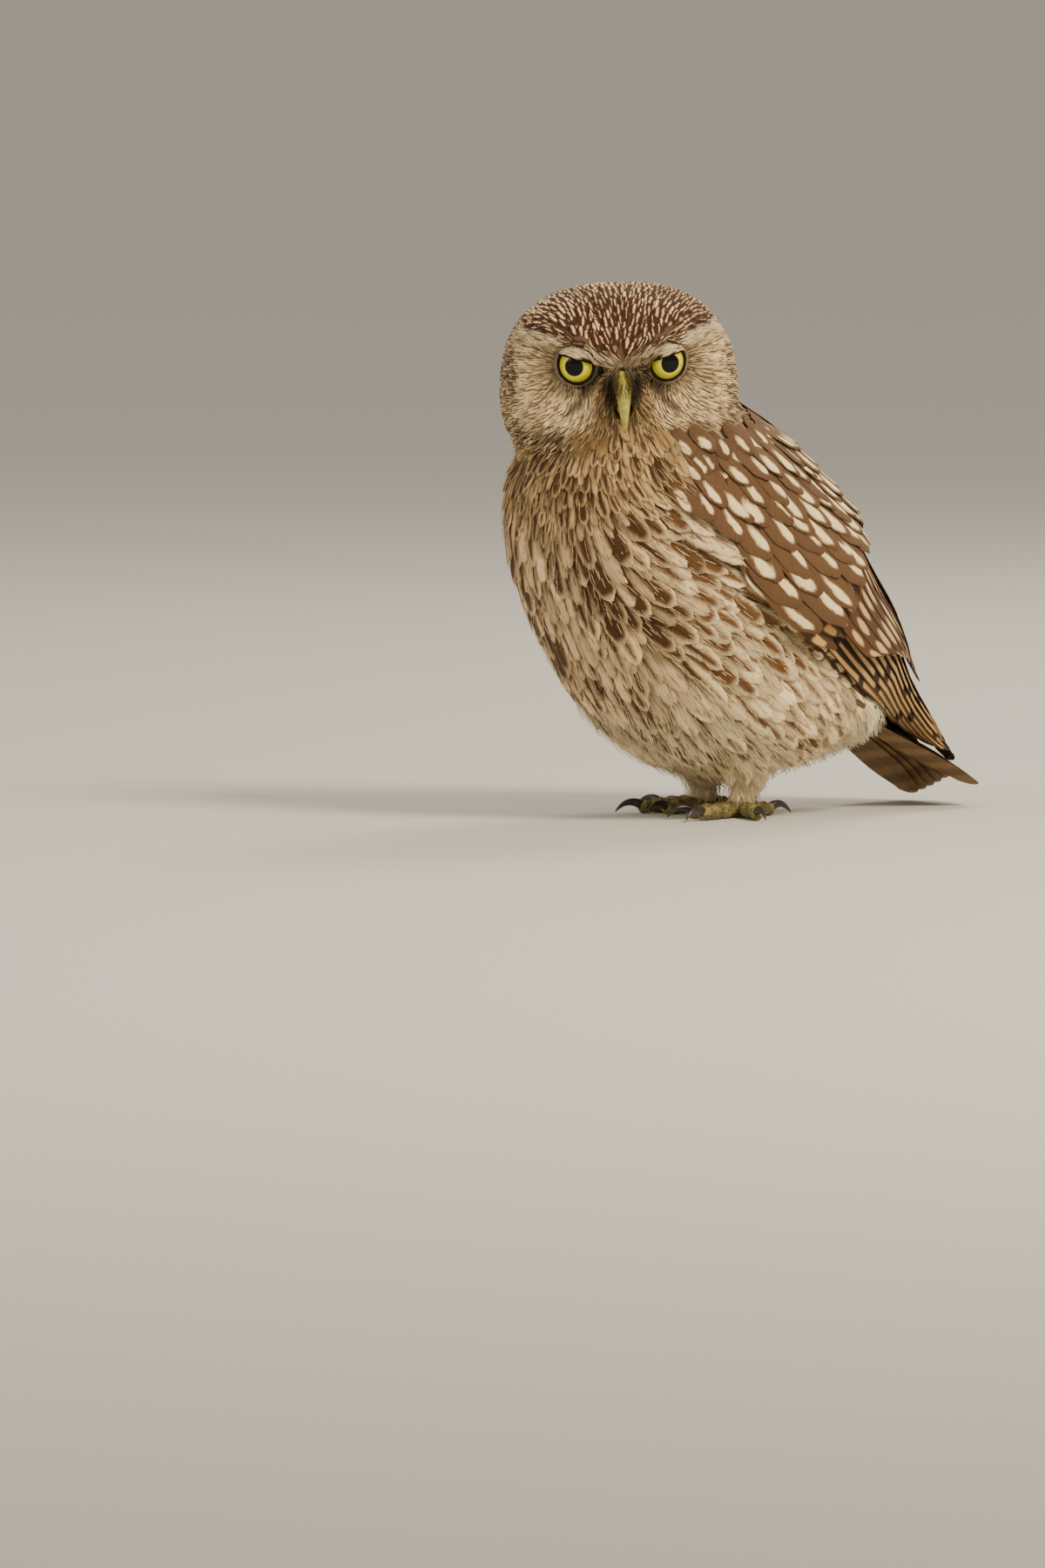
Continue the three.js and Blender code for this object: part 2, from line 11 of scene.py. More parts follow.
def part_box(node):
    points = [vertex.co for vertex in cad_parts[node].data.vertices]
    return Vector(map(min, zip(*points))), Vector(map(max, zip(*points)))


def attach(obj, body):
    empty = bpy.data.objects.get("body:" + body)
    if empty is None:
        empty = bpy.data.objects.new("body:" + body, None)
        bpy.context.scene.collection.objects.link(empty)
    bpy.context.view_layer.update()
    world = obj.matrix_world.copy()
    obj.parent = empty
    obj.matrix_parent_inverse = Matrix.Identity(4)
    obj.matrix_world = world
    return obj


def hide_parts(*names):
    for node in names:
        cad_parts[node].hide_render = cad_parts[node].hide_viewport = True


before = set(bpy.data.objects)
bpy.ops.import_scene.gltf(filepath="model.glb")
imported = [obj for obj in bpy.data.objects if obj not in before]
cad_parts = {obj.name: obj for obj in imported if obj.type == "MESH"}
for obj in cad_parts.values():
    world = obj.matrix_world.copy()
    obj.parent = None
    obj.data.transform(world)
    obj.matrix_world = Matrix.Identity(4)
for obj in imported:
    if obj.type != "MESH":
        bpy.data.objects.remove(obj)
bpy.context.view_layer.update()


# The body's plan
# The plumage is a smooth form swept along the back's curve, from the neck at station 0 to the
# tail's tip at station 7. Angle 0 is the middle of the back and 180 degrees the breast. The head
# sits on it, turned to the bird's left. Sizes are in millimetres until a mesh is made.
HEAD_CENTRE = np.array((0, -39.5, 138.0))
HEAD_RADII = ((38.4, 38.4), (27.0, 35.0), (29.0, 32.5))
EYE_PLACE = np.array((12.5, -19.5, 11.6))
EYE_SPLAY = math.radians(18)
BELLY_FULLNESS = 2.3
BEND = 0.4
STEP = 0.05
MM = 0.001


def through(values):
    """A smooth run through evenly spaced values, read at any station."""
    values = np.array(values, float)
    last = len(values) - 1

    def read(station):
        x = np.clip(station, 0, last)
        i = np.minimum(x.astype(int), last - 1)
        t = x - i
        a, b = values[np.maximum(i - 1, 0)], values[i]
        c, d = values[i + 1], values[np.minimum(i + 2, last)]
        rise, fall = (c - a) / 2, (d - b) / 2
        return (2 * b - 2 * c + rise + fall) * t**3 + (3 * c - 3 * b - 2 * rise - fall) * t**2 + rise * t + b

    return read


axis_y = through([-36, -30, -14, 10, 42, 62, 80, 95])
axis_z = through([150, 118, 84, 55, 39, 30, 20, 10])
half_width = through([25, 42, 46, 47, 34, 21, 15, 11])
belly_depth = through([26, 49, 56, 51, 24, 8, 5, 4])
back_depth = through([22, 40, 50, 51, 35, 19, 9, 5])


def unit(vectors):
    return vectors / np.maximum(np.linalg.norm(vectors, axis=-1, keepdims=True), 1e-9)


def smooth(x, low, high):
    t = np.clip((x - low) / (high - low), 0, 1)
    return t * t * (3 - 2 * t)


def vector(x, y, z):
    return np.stack(np.broadcast_arrays(*(np.asarray(v, float) for v in (x, y, z))), -1)


def body_way(station):
    dy = axis_y(station + BEND) - axis_y(station - BEND)
    dz = axis_z(station + BEND) - axis_z(station - BEND)
    return unit(vector(0, dy, dz))


def body_axis(station):
    return vector(0, axis_y(station), axis_z(station))


def plumage(station, angle):
    way = body_way(station)
    back = vector(0, -way[..., 2], way[..., 1])
    behind = np.cos(angle) > 0
    depth = np.where(behind, back_depth(station), belly_depth(station))
    power = np.where(behind, 1, 2 / BELLY_FULLNESS)
    up = np.sign(np.cos(angle)) * np.abs(np.cos(angle)) ** power * depth
    side = np.sign(np.sin(angle)) * np.abs(np.sin(angle)) ** power * half_width(station)
    return body_axis(station) + back * up[..., None] + vector(side, 0, 0)


def outward(station, angle):
    s = np.clip(station, STEP, 7 - STEP)
    along = plumage(s + STEP, angle) - plumage(s - STEP, angle)
    return unit(np.cross(plumage(s, angle + STEP) - plumage(s, angle - STEP), along))


def on_plumage(station, angle, lift):
    return plumage(station, angle) + outward(station, angle) * np.asarray(lift)[..., None]


def around(station, angle):
    """Millimetres round the plumage for each radian."""
    apart = plumage(station, angle + STEP) - plumage(station, angle - STEP)
    return np.linalg.norm(apart, axis=-1) / (2 * STEP)


def turned(axis, degrees):
    return np.array(Matrix.Rotation(math.radians(degrees), 3, axis))


HEAD_AXES = turned("Z", 57.5) @ turned("X", 9) @ turned("Y", -2)


def to_head(points):
    return (points - HEAD_CENTRE) @ HEAD_AXES


def from_head(points):
    return points @ HEAD_AXES.T + HEAD_CENTRE


def head_share(q):
    """1 on the head and its brow ridges, 0 on the neck and trunk."""
    return 1 - smooth(head_level(q) - 0.25 * smooth(q[..., 2], -4, 6), 1.0, 1.1)


def head_level(q):
    """1 on the head's rounded form, less inside it and more outside."""
    total = 0
    for i, (low, high) in enumerate(HEAD_RADII):
        total = total + (np.abs(q[..., i]) / np.where(q[..., i] < 0, low, high)) ** 2.55
    return total ** (1 / 2.55)


STATIONS = np.linspace(0, 7, 141)
AXIS_POINTS = body_axis(STATIONS)
AXIS_WAYS = body_way(STATIONS)


GRID = np.stack(np.meshgrid(np.arange(-100.0, 111.0), np.arange(-10.0, 186.0), indexing="ij"), -1)
GRID_GAP = GRID[:, :, None] - AXIS_POINTS[:, 1:]
GRID_OFF = np.abs((GRID_GAP * AXIS_WAYS[:, 1:]).sum(-1)) + 0.02 * np.linalg.norm(GRID_GAP, axis=-1)
GRID_STATION = STATIONS[GRID_OFF.argmin(-1)]


def body_place(points):
    """Station and angle of points on or near the trunk."""
    y = np.clip(points[:, 1] + 100, 0, 209.9)
    z = np.clip(points[:, 2] + 10, 0, 194.9)
    i, j = y.astype(int), z.astype(int)
    s, t = y - i, z - j
    low = GRID_STATION[i, j] * (1 - s) + GRID_STATION[i + 1, j] * s
    high = GRID_STATION[i, j + 1] * (1 - s) + GRID_STATION[i + 1, j + 1] * s
    station = low * (1 - t) + high * t
    way = body_way(station)
    back = vector(0, -way[:, 2], way[:, 1])
    apart = points - body_axis(station)
    up = (apart * back).sum(-1)
    depth = np.where(up > 0, back_depth(station), belly_depth(station))
    power = np.where(up > 0, 1, BELLY_FULLNESS / 2)
    up = up / depth
    side = apart[:, 0] / half_width(station)
    angle = np.arctan2(np.sign(side) * np.abs(side) ** power, np.sign(up) * np.abs(up) ** power)
    return station, angle


eye_low, eye_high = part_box("eye_left")
SHIFT = np.array((0, (eye_low.y + eye_high.y) / 2 / MM - from_head(EYE_PLACE)[1], 0))


def link(name, mesh):
    piece = bpy.data.objects.new(name, mesh)
    bpy.context.scene.collection.objects.link(piece)
    return piece


def placed(points):
    """From millimetres on the bird's plan to metres in the row frame."""
    return (points + SHIFT) * MM


# Colours of the plumage
# The same colours are used for the skin and for the feathers that cover it: dark brown with buff on
# the crown, grey buff on the face, brown and white on neck and breast, cream on belly and legs.
def colour(text):
    """A colour such as 6b4f3a, as the linear values that a shader works with."""
    srgb = np.array([int(text[i : i + 2], 16) for i in (0, 2, 4)]) / 255
    return np.where(srgb <= 0.04045, srgb / 12.92, ((srgb + 0.055) / 1.055) ** 2.4)


def blend(a, b, share):
    return a + (b - a) * np.asarray(share)[..., None]


TONES = {
    "crown": (colour("4a2a1a"), colour("f2d2a0")),
    "brow": (colour("f6e0ba"), colour("5f4126")),
    "disc": (colour("f6d8a6"), colour("4a321d")),
    "lores": (colour("a3865c"), colour("24170c")),
    "chin": (colour("6b4828"), colour("d4a766")),
    "cheek": (colour("e6c898"), colour("3c2618")),
    "neck": (colour("c4a272"), colour("4c321b")),
    "breast": (colour("dfc092"), colour("4e331d")),
    "belly": (colour("fae6bc"), colour("664527")),
    "flank": (colour("ecd3a6"), colour("6d4b2c")),
    "vent": (colour("fff2d0"), colour("eed4a4")),
    "mantle": (colour("664a30"), colour("ffe4b0")),
    "leg": (colour("f6e2b8"), colour("cfae78")),
}
REGIONS = list(TONES)


def brow_line(x):
    """How high the dark crown begins, at a distance from the face's middle."""
    return np.interp(x, (0, 8, 15.5, 23.5, 31), (11.1, 14.4, 17.9, 21, 22))


def region_shares(points):
    """How much of each region's colours a point of the plumage has."""
    q = to_head(points)
    station, angle = body_place(points)
    a = np.abs(angle)
    x, z = np.abs(q[:, 0]), q[:, 2]
    head = head_share(q) * smooth(z, -17, -13)
    front = smooth(-q[:, 1], 0, 7)
    ragged = 2.5 * np.sin(0.9 * x + 1.3 * z) * np.sin(1.1 * z - 0.8 * q[:, 1])
    under = brow_line(x) - z - 40 * smooth(q[:, 1] + ragged, -7, 12)
    crown = 1 - smooth(under, -0.6, 0.6)
    band = (1 - crown) * (1 - smooth(under, 0, 0.6 + np.interp(x, (0, 6, 15, 30), (2.6, 3.2, 3.0, 5.0)))) * front
    rest = head * (1 - crown - band)
    shares = {"crown": head * crown, "brow": head * band}
    shares["chin"] = rest * front * smooth(-z, 7.5, 10) * (1 - smooth(x, 11, 16))
    rest = rest - shares["chin"]
    shares["lores"] = rest * front * (1 - smooth(x, 6.5, 10)) * smooth(z, -9, -5)
    rest = rest - shares["lores"]
    shares["disc"] = rest * front * (1 - smooth(x, 29, 34)) * smooth(z, -11, -7)
    shares["cheek"] = rest - shares["disc"]
    body = 1 - head
    shares["leg"] = body * smooth(24 - points[:, 2], 0, 8) * (1 - smooth(np.abs(points[:, 1]), 26, 34))
    body = body - shares["leg"]
    neck = 1 - smooth(station, 0.9, 1.35)
    shoulder = np.interp(station, (0.4, 0.65, 1.2, 1.6), (1.0, 1.8, 1.8, 1.62))
    shares["mantle"] = body * (1 - smooth(a, shoulder - 0.12, shoulder + 0.12))
    body = body - shares["mantle"]
    shares["neck"] = body * neck
    body = body - shares["neck"]
    shares["vent"] = body * smooth(station, 3.3, 4.0)
    body = body - shares["vent"]
    shares["flank"] = body * (1 - smooth(a, 2.05, 2.45))
    body = body - shares["flank"]
    shares["belly"] = body * smooth(station, 2.0, 2.8)
    shares["breast"] = body - shares["belly"]
    return shares


def face_marks_and_shade(points):
    """How dark the face is: painted shade along the creases that run down from the eyes and in a ring round each eye, a
    darker rim low on the disc and faint rays, against pale cheeks.
    """
    q = to_head(points)
    x, z = np.abs(q[:, 0]), q[:, 2]
    front = smooth(-q[:, 1], 0, 7) * (1 - smooth(z - brow_line(x), -4, -2.5))
    around_eye = np.hypot(x - 14.8, z - 11.6)
    turn = np.arctan2(z - 11.6, x - 14.8)
    # Painted shade: a dark line down the crease below each eye's inner corner, and a dark ring round each eye.
    crease_shade = np.exp(-(((x - 10.3 + 0.6 * (z - 6.5)) / 1.5) ** 2)) * smooth(z, -5, 0) * (1 - smooth(z, 8, 11))
    shade = 0.6 * np.exp(-(((around_eye - 6.6) / 1.3) ** 2))
    rays = 0.3 * np.sin(turn * 23 + 0.4 * around_eye) * smooth(around_eye, 8, 12)
    rim = 0.55 * np.exp(-(((z + 9.5) / 2.2) ** 2)) * smooth(x, 5, 12)
    pale = 0.35 * np.exp(-(((x - 19) / 8) ** 2) - ((z + 1.5) / 4.5) ** 2)
    return np.clip(1.4 * crease_shade + shade + rays + rim - pale, -0.4, 1) * front


def tones_at(points, which):
    shares = region_shares(points)
    weight = np.stack([shares[r] for r in REGIONS], -1)
    weight = weight / np.maximum(weight.sum(-1, keepdims=True), 1e-6)
    tone = weight @ np.array([TONES[r][which] for r in REGIONS])
    if which == 0:
        # The face's ground tones are darkened by its markings and by painted shade in the creases and round the eyes,
        # and lightened on the pale cheeks.
        marks_and_shade = face_marks_and_shade(points)
        tone = tone * (1 - 0.8 * np.maximum(marks_and_shade, 0) + 0.9 * np.maximum(-marks_and_shade, 0))[:, None]
    return tone


# Skin
# One skin runs over head, neck, trunk and legs, under the feathers. It is drawn from the packed
# solids, melted into one surface and set in by the depth of the plumage, with the lids left standing.
FLESH = ("head", "neck", "torso", "thigh_left", "thigh_right", "shank_left", "shank_right")
flesh = bmesh.new()
for node in FLESH:
    flesh.from_mesh(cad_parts[node].data)
bmesh.ops.remove_doubles(flesh, verts=flesh.verts, dist=1e-6)
flesh_mesh = bpy.data.meshes.new("flesh")
flesh.to_mesh(flesh_mesh)
flesh.free()
blank = link("flesh_blank", flesh_mesh)
melt = blank.modifiers.new("Melt", "REMESH")
melt.mode = "VOXEL"
melt.voxel_size = 0.9 * MM
bpy.context.view_layer.update()
skin_mesh = bpy.data.meshes.new_from_object(blank.evaluated_get(bpy.context.evaluated_depsgraph_get()))
skin_mesh.name = "skin"
bpy.data.objects.remove(blank)


def corners(mesh):
    co = np.empty(len(mesh.vertices) * 3, np.float32)
    mesh.vertices.foreach_get("co", co)
    return co.reshape(-1, 3).astype(float)


def facings(mesh):
    normals = np.empty(len(mesh.vertices) * 3, np.float32)
    mesh.vertex_normals.foreach_get("vector", normals)
    return normals.reshape(-1, 3).astype(float)


def relax(points, edges, share, rounds):
    """Moves each point towards the middle of its neighbours, by its own share."""
    a, b = edges[:, 0], edges[:, 1]
    count = np.bincount(edges.ravel(), minlength=len(points))[:, None]
    for _ in range(rounds):
        total = np.stack(
            [
                np.bincount(a, points[b, k], len(points)) + np.bincount(b, points[a, k], len(points))
                for k in range(3)
            ],
            -1,
        )
        points = points + share[:, None] * (total / count - points)
    return points


edges = np.empty(len(skin_mesh.edges) * 2, np.int32)
skin_mesh.edges.foreach_get("vertices", edges)
edges = edges.reshape(-1, 2)
surface = corners(skin_mesh) / MM - SHIFT
on_head = to_head(surface)
face_share = (1 - smooth(head_level(on_head), 1.05, 1.2)) * smooth(-on_head[:, 1], 2, 12)
surface = relax(surface, edges, 0.5 - 0.42 * face_share, 14)
skin_mesh.vertices.foreach_set("co", placed(surface).ravel().astype(np.float32))
skin_mesh.update()


def coat_depth(points):
    q = to_head(points)
    head = 1 - smooth(head_level(q), 1.0, 1.2)
    face = head * smooth(-q[:, 1], 2, 14) * (1 - smooth(q[:, 2], 14, 24))
    eye = np.exp(-((np.hypot(np.abs(q[:, 0]) - 14.5, q[:, 2] - 11.6) / 8.5) ** 4)) * face
    depth = 2.6 - 1.1 * head - 0.7 * face
    leg = smooth(16 - points[:, 2], 0, 10)
    return (depth * (1 - leg) + 0.7 * leg) * (1 - eye)


surface = surface - facings(skin_mesh) * coat_depth(surface)[:, None]
surface = relax(surface, edges, 0.5 - 0.45 * face_share, 3)
skin_mesh.vertices.foreach_set("co", placed(surface).ravel().astype(np.float32))
skin_mesh.update()
skin_mesh.shade_smooth()
skin_tint = skin_mesh.color_attributes.new("ground", "FLOAT_COLOR", "POINT")
under = 0.7 * blend(tones_at(surface, 0), tones_at(surface, 1), 0.45 - 0.35 * region_shares(surface)["crown"])
skin_tint.data.foreach_set("color", np.c_[under, np.ones(len(under))].ravel().astype(np.float32))


class Wire:
    """A number on its way through a material's nodes."""

    def __init__(self, tree, socket):
        self.tree, self.socket = tree, socket

    def put(self, kind, operation, *others):
        node = self.tree.nodes.new(kind)
        node.operation = operation
        for i, value in enumerate((self, *others)):
            if isinstance(value, Wire):
                self.tree.links.new(value.socket, node.inputs[i])
            else:
                node.inputs[i].default_value = value
        return Wire(self.tree, node.outputs[0])

    def math(self, operation, *others):
        return self.put("ShaderNodeMath", operation, *others)

    def __add__(self, other):
        return self.math("ADD", other)

    def __sub__(self, other):
        return self.math("SUBTRACT", other)

    def __mul__(self, other):
        return self.math("MULTIPLY", other)

    def __truediv__(self, other):
        return self.math("DIVIDE", other)

    def __pow__(self, other):
        return self.math("POWER", other)

    def __neg__(self):
        return self.math("MULTIPLY", -1.0)

    def __abs__(self):
        return self.math("ABSOLUTE")

    def rise(self, low, high):
        """0 below low, 1 above high and smooth between."""
        node = self.tree.nodes.new("ShaderNodeMapRange")
        node.interpolation_type = "SMOOTHSTEP"
        self.tree.links.new(self.socket, node.inputs["Value"])
        node.inputs["From Min"].default_value = low
        node.inputs["From Max"].default_value = high
        return Wire(self.tree, node.outputs["Result"])

    def fall(self, low, high):
        return -self.rise(low, high) + 1.0


def joined(tree, x, y, z):
    node = tree.nodes.new("ShaderNodeCombineXYZ")
    for socket, value in zip(node.inputs, (x, y, z)):
        if isinstance(value, Wire):
            tree.links.new(value.socket, socket)
        else:
            socket.default_value = value
    return node.outputs[0]


def speckle(tree, place, size, detail=2.0):
    node = tree.nodes.new("ShaderNodeTexNoise")
    node.inputs["Scale"].default_value = size
    node.inputs["Detail"].default_value = detail
    tree.links.new(place, node.inputs["Vector"])
    return Wire(tree, node.outputs["Fac"])


def mixed(tree, share, a, b):
    """A colour between two others, each a socket or a fixed colour."""
    node = tree.nodes.new("ShaderNodeMix")
    node.data_type = "RGBA"
    tree.links.new(share.socket, node.inputs["Factor"])
    for socket, value in ((node.inputs[6], a), (node.inputs[7], b)):
        if isinstance(value, bpy.types.NodeSocket):
            tree.links.new(value, socket)
        else:
            socket.default_value = (*value, 1)
    return node.outputs[2]


def lit(tree, tint, share):
    """A colour made lighter or darker by a number round 1."""
    node = tree.nodes.new("ShaderNodeVectorMath")
    node.operation = "SCALE"
    tree.links.new(tint, node.inputs[0])
    tree.links.new(share.socket, node.inputs["Scale"])
    return node.outputs[0]


def bumped(tree, shader, height, distance):
    node = tree.nodes.new("ShaderNodeBump")
    node.inputs["Distance"].default_value = distance
    tree.links.new(height.socket, node.inputs["Height"])
    tree.links.new(node.outputs[0], shader.inputs["Normal"])


def attribute(tree, name):
    node = tree.nodes.new("ShaderNodeAttribute")
    node.attribute_name = name
    return node


def fresh(name, roughness, **more):
    """A new material with its Principled shader, and the fixed numbers on the shader's sockets."""
    material = bpy.data.materials.new(name)
    material.use_nodes = True
    shader = material.node_tree.nodes["Principled BSDF"]
    shader.inputs["Roughness"].default_value = roughness
    for socket, value in more.items():
        shader.inputs[socket.replace("_", " ").title().replace("Ior", "IOR")].default_value = value
    return material, material.node_tree, shader


down, tree, shader = fresh("down", 0.95)
place = tree.nodes.new("ShaderNodeTexCoord").outputs["Object"]
fluff = speckle(tree, place, 900, 4)
tree.links.new(lit(tree, attribute(tree, "ground").outputs["Color"], fluff * 0.5 + 0.75), shader.inputs["Base Color"])
bumped(tree, shader, fluff, 0.0006)
skin_mesh.materials.clear()
skin_mesh.materials.append(down)
skin = link("skin", skin_mesh)
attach(skin, "root")
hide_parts(*FLESH)


# Eyes
# Two round eyeballs with clear bulging corneas, lemon irises and black pupils, held in black lids.
EYE_RADIUS = 8.2


def bulge(local):
    """The cornea stands out from the ball at its front."""
    return local * (1 + 0.09 * smooth(local[:, 2] / EYE_RADIUS, 0.74, 0.94))[:, None]


def in_socket(mesh, local, side):
    """Turns a form made round +Z to look out of one of the sockets."""
    gaze = np.array((side * math.sin(EYE_SPLAY), -math.cos(EYE_SPLAY), 0))
    right = np.array((math.cos(EYE_SPLAY), side * math.sin(EYE_SPLAY), 0))
    points = EYE_PLACE * (side, 1, 1) + local[:, :1] * right + local[:, 1:2] * (0, 0, 1) + local[:, 2:] * gaze
    mesh.vertices.foreach_set("co", placed(from_head(points)).ravel().astype(np.float32))
    mesh.shade_smooth()
    mesh.update()


iris, tree, shader = fresh("iris", 0.35, coat_weight=0.35, coat_roughness=0.03, specular_ior_level=0.05)
parts = tree.nodes.new("ShaderNodeSeparateXYZ")
tree.links.new(attribute(tree, "gaze").outputs["Vector"], parts.inputs[0])
x, y, z = (Wire(tree, socket) for socket in parts.outputs)
far = (x * x + y * y).math("SQRT")
spoke = speckle(tree, joined(tree, x / far * 9.0, y / far * 9.0, far * 0.7), 1.6, 3.0)
yellow = mixed(tree, far.rise(3.2, 5.3), colour("e4dc2c"), colour("b0ab18"))
yellow = lit(tree, yellow, spoke * 0.5 + 0.8)
tint = mixed(tree, far.rise(2.9, 3.12), (0.001, 0.001, 0.001), yellow)
tint = mixed(tree, far.rise(5.15, 5.4), tint, (0.004, 0.003, 0.002))
tree.links.new(tint, shader.inputs["Base Color"])
eye_meshes = []
for name, side in (("left", 1), ("right", -1)):
    ball = bmesh.new()
    bmesh.ops.create_uvsphere(ball, u_segments=64, v_segments=48, radius=EYE_RADIUS)
    eye_mesh = bpy.data.meshes.new(f"eyeball_{name}")
    ball.to_mesh(eye_mesh)
    ball.free()
    local = bulge(corners(eye_mesh))
    eye_mesh.attributes.new("gaze", "FLOAT_VECTOR", "POINT").data.foreach_set(
        "vector", local.ravel().astype(np.float32)
    )
    in_socket(eye_mesh, local, side)
    eye_mesh.materials.append(iris)
    eyeball = link(f"eyeball_{name}", eye_mesh)
    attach(eyeball, "root")
    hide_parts(f"eye_{name}")
    eye_meshes.append(eye_mesh)


# Lids
# A fine black rim of bare skin round each eye, and an upper lid drawn down over the top of the iris.
lid_look, tree, shader = fresh("lids", 0.7, specular_ior_level=0.2)
margin = Wire(tree, attribute(tree, "margin").outputs["Fac"])
tint = mixed(tree, margin.rise(1.0, 1.5), (0.006, 0.004, 0.003), colour("8f7350"))
tree.links.new(tint, shader.inputs["Base Color"])


def lid_line(outwards):
    """The height of the upper lid's edge over the iris: it slants down towards the bill."""
    return 2.2 + 0.24 * outwards - 0.012 * outwards**2


for name, side in (("left", 1), ("right", -1)):
    rim = bmesh.new()
    ring = bmesh.ops.create_circle(
        rim, segments=12, radius=0.6, matrix=Matrix.Translation((5.9, 0, 0)) @ Matrix.Rotation(math.pi / 2, 4, "X")
    )
    bmesh.ops.spin(
        rim, geom=ring["verts"] + list({e for v in ring["verts"] for e in v.link_edges}),
        cent=(0, 0, 0), axis=(0, 0, 1), angle=math.tau, steps=64, use_merge=True,
    )
    bmesh.ops.recalc_face_normals(rim, faces=rim.faces)
    rim_mesh = bpy.data.meshes.new("rim")
    rim.to_mesh(rim_mesh)
    rim.free()
    local = corners(rim_mesh)
    under_hood = smooth(local[:, 1] - lid_line(local[:, 0] * side), 0.2, 1.4)
    local[:, 2] += 5.9 - 1.6 * under_hood
    tucked = smooth(np.hypot(local[:, 0], local[:, 1]), 6.0, 6.5)
    local *= 1 + tucked[:, None] * (0.25, 0.25, -0.3)
    hood = bmesh.new()
    rows, columns = 7, 25
    grid, margin = [], []
    for layer in (0, 1):
        for i in range(rows):
            for j in range(columns):
                across = -5.7 + 11.4 * j / (columns - 1)
                lowest = lid_line(across * side)
                taper = min(1, (5.8 - abs(across)) / 1.4)
                highest = lowest + max((math.sqrt(6.8**2 - across**2) - lowest) * taper, 0.3)
                height = lowest + (highest - lowest) * i / (rows - 1)
                margin.append(height - lowest)
                depth = math.sqrt(max(EYE_RADIUS**2 - across**2 - height**2, 14.0))
                spot = bulge(np.array([(across, height, depth)]))[0]
                lift = 0.15 + (0.3 * (1 - i / (rows - 1)) ** 2 + 0.5) * layer
                grid.append(hood.verts.new(spot * (1 + lift / np.linalg.norm(spot))))
    for layer in (0, 1):
        for i in range(rows - 1):
            for j in range(columns - 1):
                a = layer * rows * columns + i * columns + j
                hood.faces.new([grid[k] for k in (a, a + 1, a + columns + 1, a + columns)])
    border = [j for j in range(columns)] + [i * columns + columns - 1 for i in range(1, rows)]
    border += [(rows - 1) * columns + j for j in range(columns - 2, -1, -1)]
    border += [i * columns for i in range(rows - 2, 0, -1)]
    for a, b in zip(border, border[1:] + border[:1]):
        hood.faces.new([grid[k] for k in (a, b, b + rows * columns, a + rows * columns)])
    bmesh.ops.recalc_face_normals(hood, faces=hood.faces)
    hood_mesh = bpy.data.meshes.new("hood")
    hood.to_mesh(hood_mesh)
    hood.free()
    margin = np.append(np.zeros(len(local)), margin)
    in_socket(rim_mesh, local, side)
    in_socket(hood_mesh, corners(hood_mesh), side)
    both_lids = bmesh.new()
    both_lids.from_mesh(rim_mesh)
    both_lids.from_mesh(hood_mesh)
    lid_mesh = bpy.data.meshes.new(f"lids_{name}")
    both_lids.to_mesh(lid_mesh)
    both_lids.free()
    bpy.data.meshes.remove(rim_mesh)
    bpy.data.meshes.remove(hood_mesh)
    lid_mesh.attributes.new("margin", "FLOAT", "POINT").data.foreach_set("value", margin.astype(np.float32))
    lid_mesh.shade_smooth()
    lid_mesh.materials.append(lid_look)
    piece = link(f"lids_{name}", lid_mesh)
    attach(piece, "root")
    eye_meshes.append(lid_mesh)


# Bill
# A short hooked bill of yellow-olive horn with a rounded ridge, its lower half tucked under the hook.
def tube(name, centre, across, half_across, half_up, sides):
    """A horn or limb: rings round a line, closed at both ends."""
    rows = len(centre)
    ways = unit(np.gradient(centre, axis=0))
    up = unit(np.cross(ways, across))
    side = unit(np.cross(up, ways))
    turn = np.arange(sides) / sides * math.tau
    ring = (
        centre[:, None]
        + side[:, None] * (np.cos(turn)[None, :, None] * half_across[:, None, None])
        + up[:, None] * (np.sin(turn)[None, :, None] * half_up[:, None, None])
    )
    form = bmesh.new()
    verts = [[form.verts.new(p) for p in row] for row in ring]
    for i in range(rows - 1):
        for j in range(sides):
            k = (j + 1) % sides
            form.faces.new((verts[i][j], verts[i][k], verts[i + 1][k], verts[i + 1][j]))
    form.faces.new(verts[0][::-1])
    form.faces.new(verts[-1])
    bmesh.ops.recalc_face_normals(form, faces=form.faces)
    mesh = bpy.data.meshes.new(name)
    form.to_mesh(mesh)
    form.free()
    mesh.vertices.foreach_set("co", placed(corners(mesh)).ravel().astype(np.float32))
    mesh.shade_smooth()
    mesh.update()
    return mesh


def arc(a, b, c, rows, ease=1.0):
    t = (np.linspace(0, 1, rows) ** ease)[:, None]
    return (1 - t) ** 2 * np.array(a, float) + 2 * t * (1 - t) * np.array(b, float) + t**2 * np.array(c, float)


horn, tree, shader = fresh("bill", 0.38, coat_weight=0.25)
place = tree.nodes.new("ShaderNodeTexCoord").outputs["Object"]
grain = speckle(tree, place, 700, 3)
tint = mixed(tree, grain.rise(0.3, 0.75), colour("948a35"), colour("c4b650"))
tree.links.new(tint, shader.inputs["Base Color"])
bumped(tree, shader, grain, 0.0001)
head_right = HEAD_AXES[:, 0]
bill_meshes = []
for name, points, size in (
    ("upper", ((0, -24, 5.5), (0, -36, 4.5), (0, -35.2, -8.6)), lambda t: 3.8 * (1 - t) ** 0.68 + 0.3),
    ("lower", ((0, -25, -1.6), (0, -31.6, -1.8), (0, -33.0, -5.6)), lambda t: 2.7 * (1 - t) ** 0.7 + 0.3),
):
    line = from_head(arc(*points, 26))
    half = size(np.linspace(0, 1, 26))
    mesh = tube(f"bill_{name}_horn", line, head_right, 0.82 * half, half, 20)
    mesh.materials.append(horn)
    piece = link(f"bill_{name}_horn", mesh)
    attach(piece, "root")
    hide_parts(f"bill_{name}")
    bill_meshes.append(mesh)


# Feathers of the head and body
# Each feather is a thin cambered vane with a split tip. It is rooted in the skin, follows the lie of
# the plumage over it and rises towards its tip, so that it covers the roots of those below.
chance = np.random.default_rng(7)


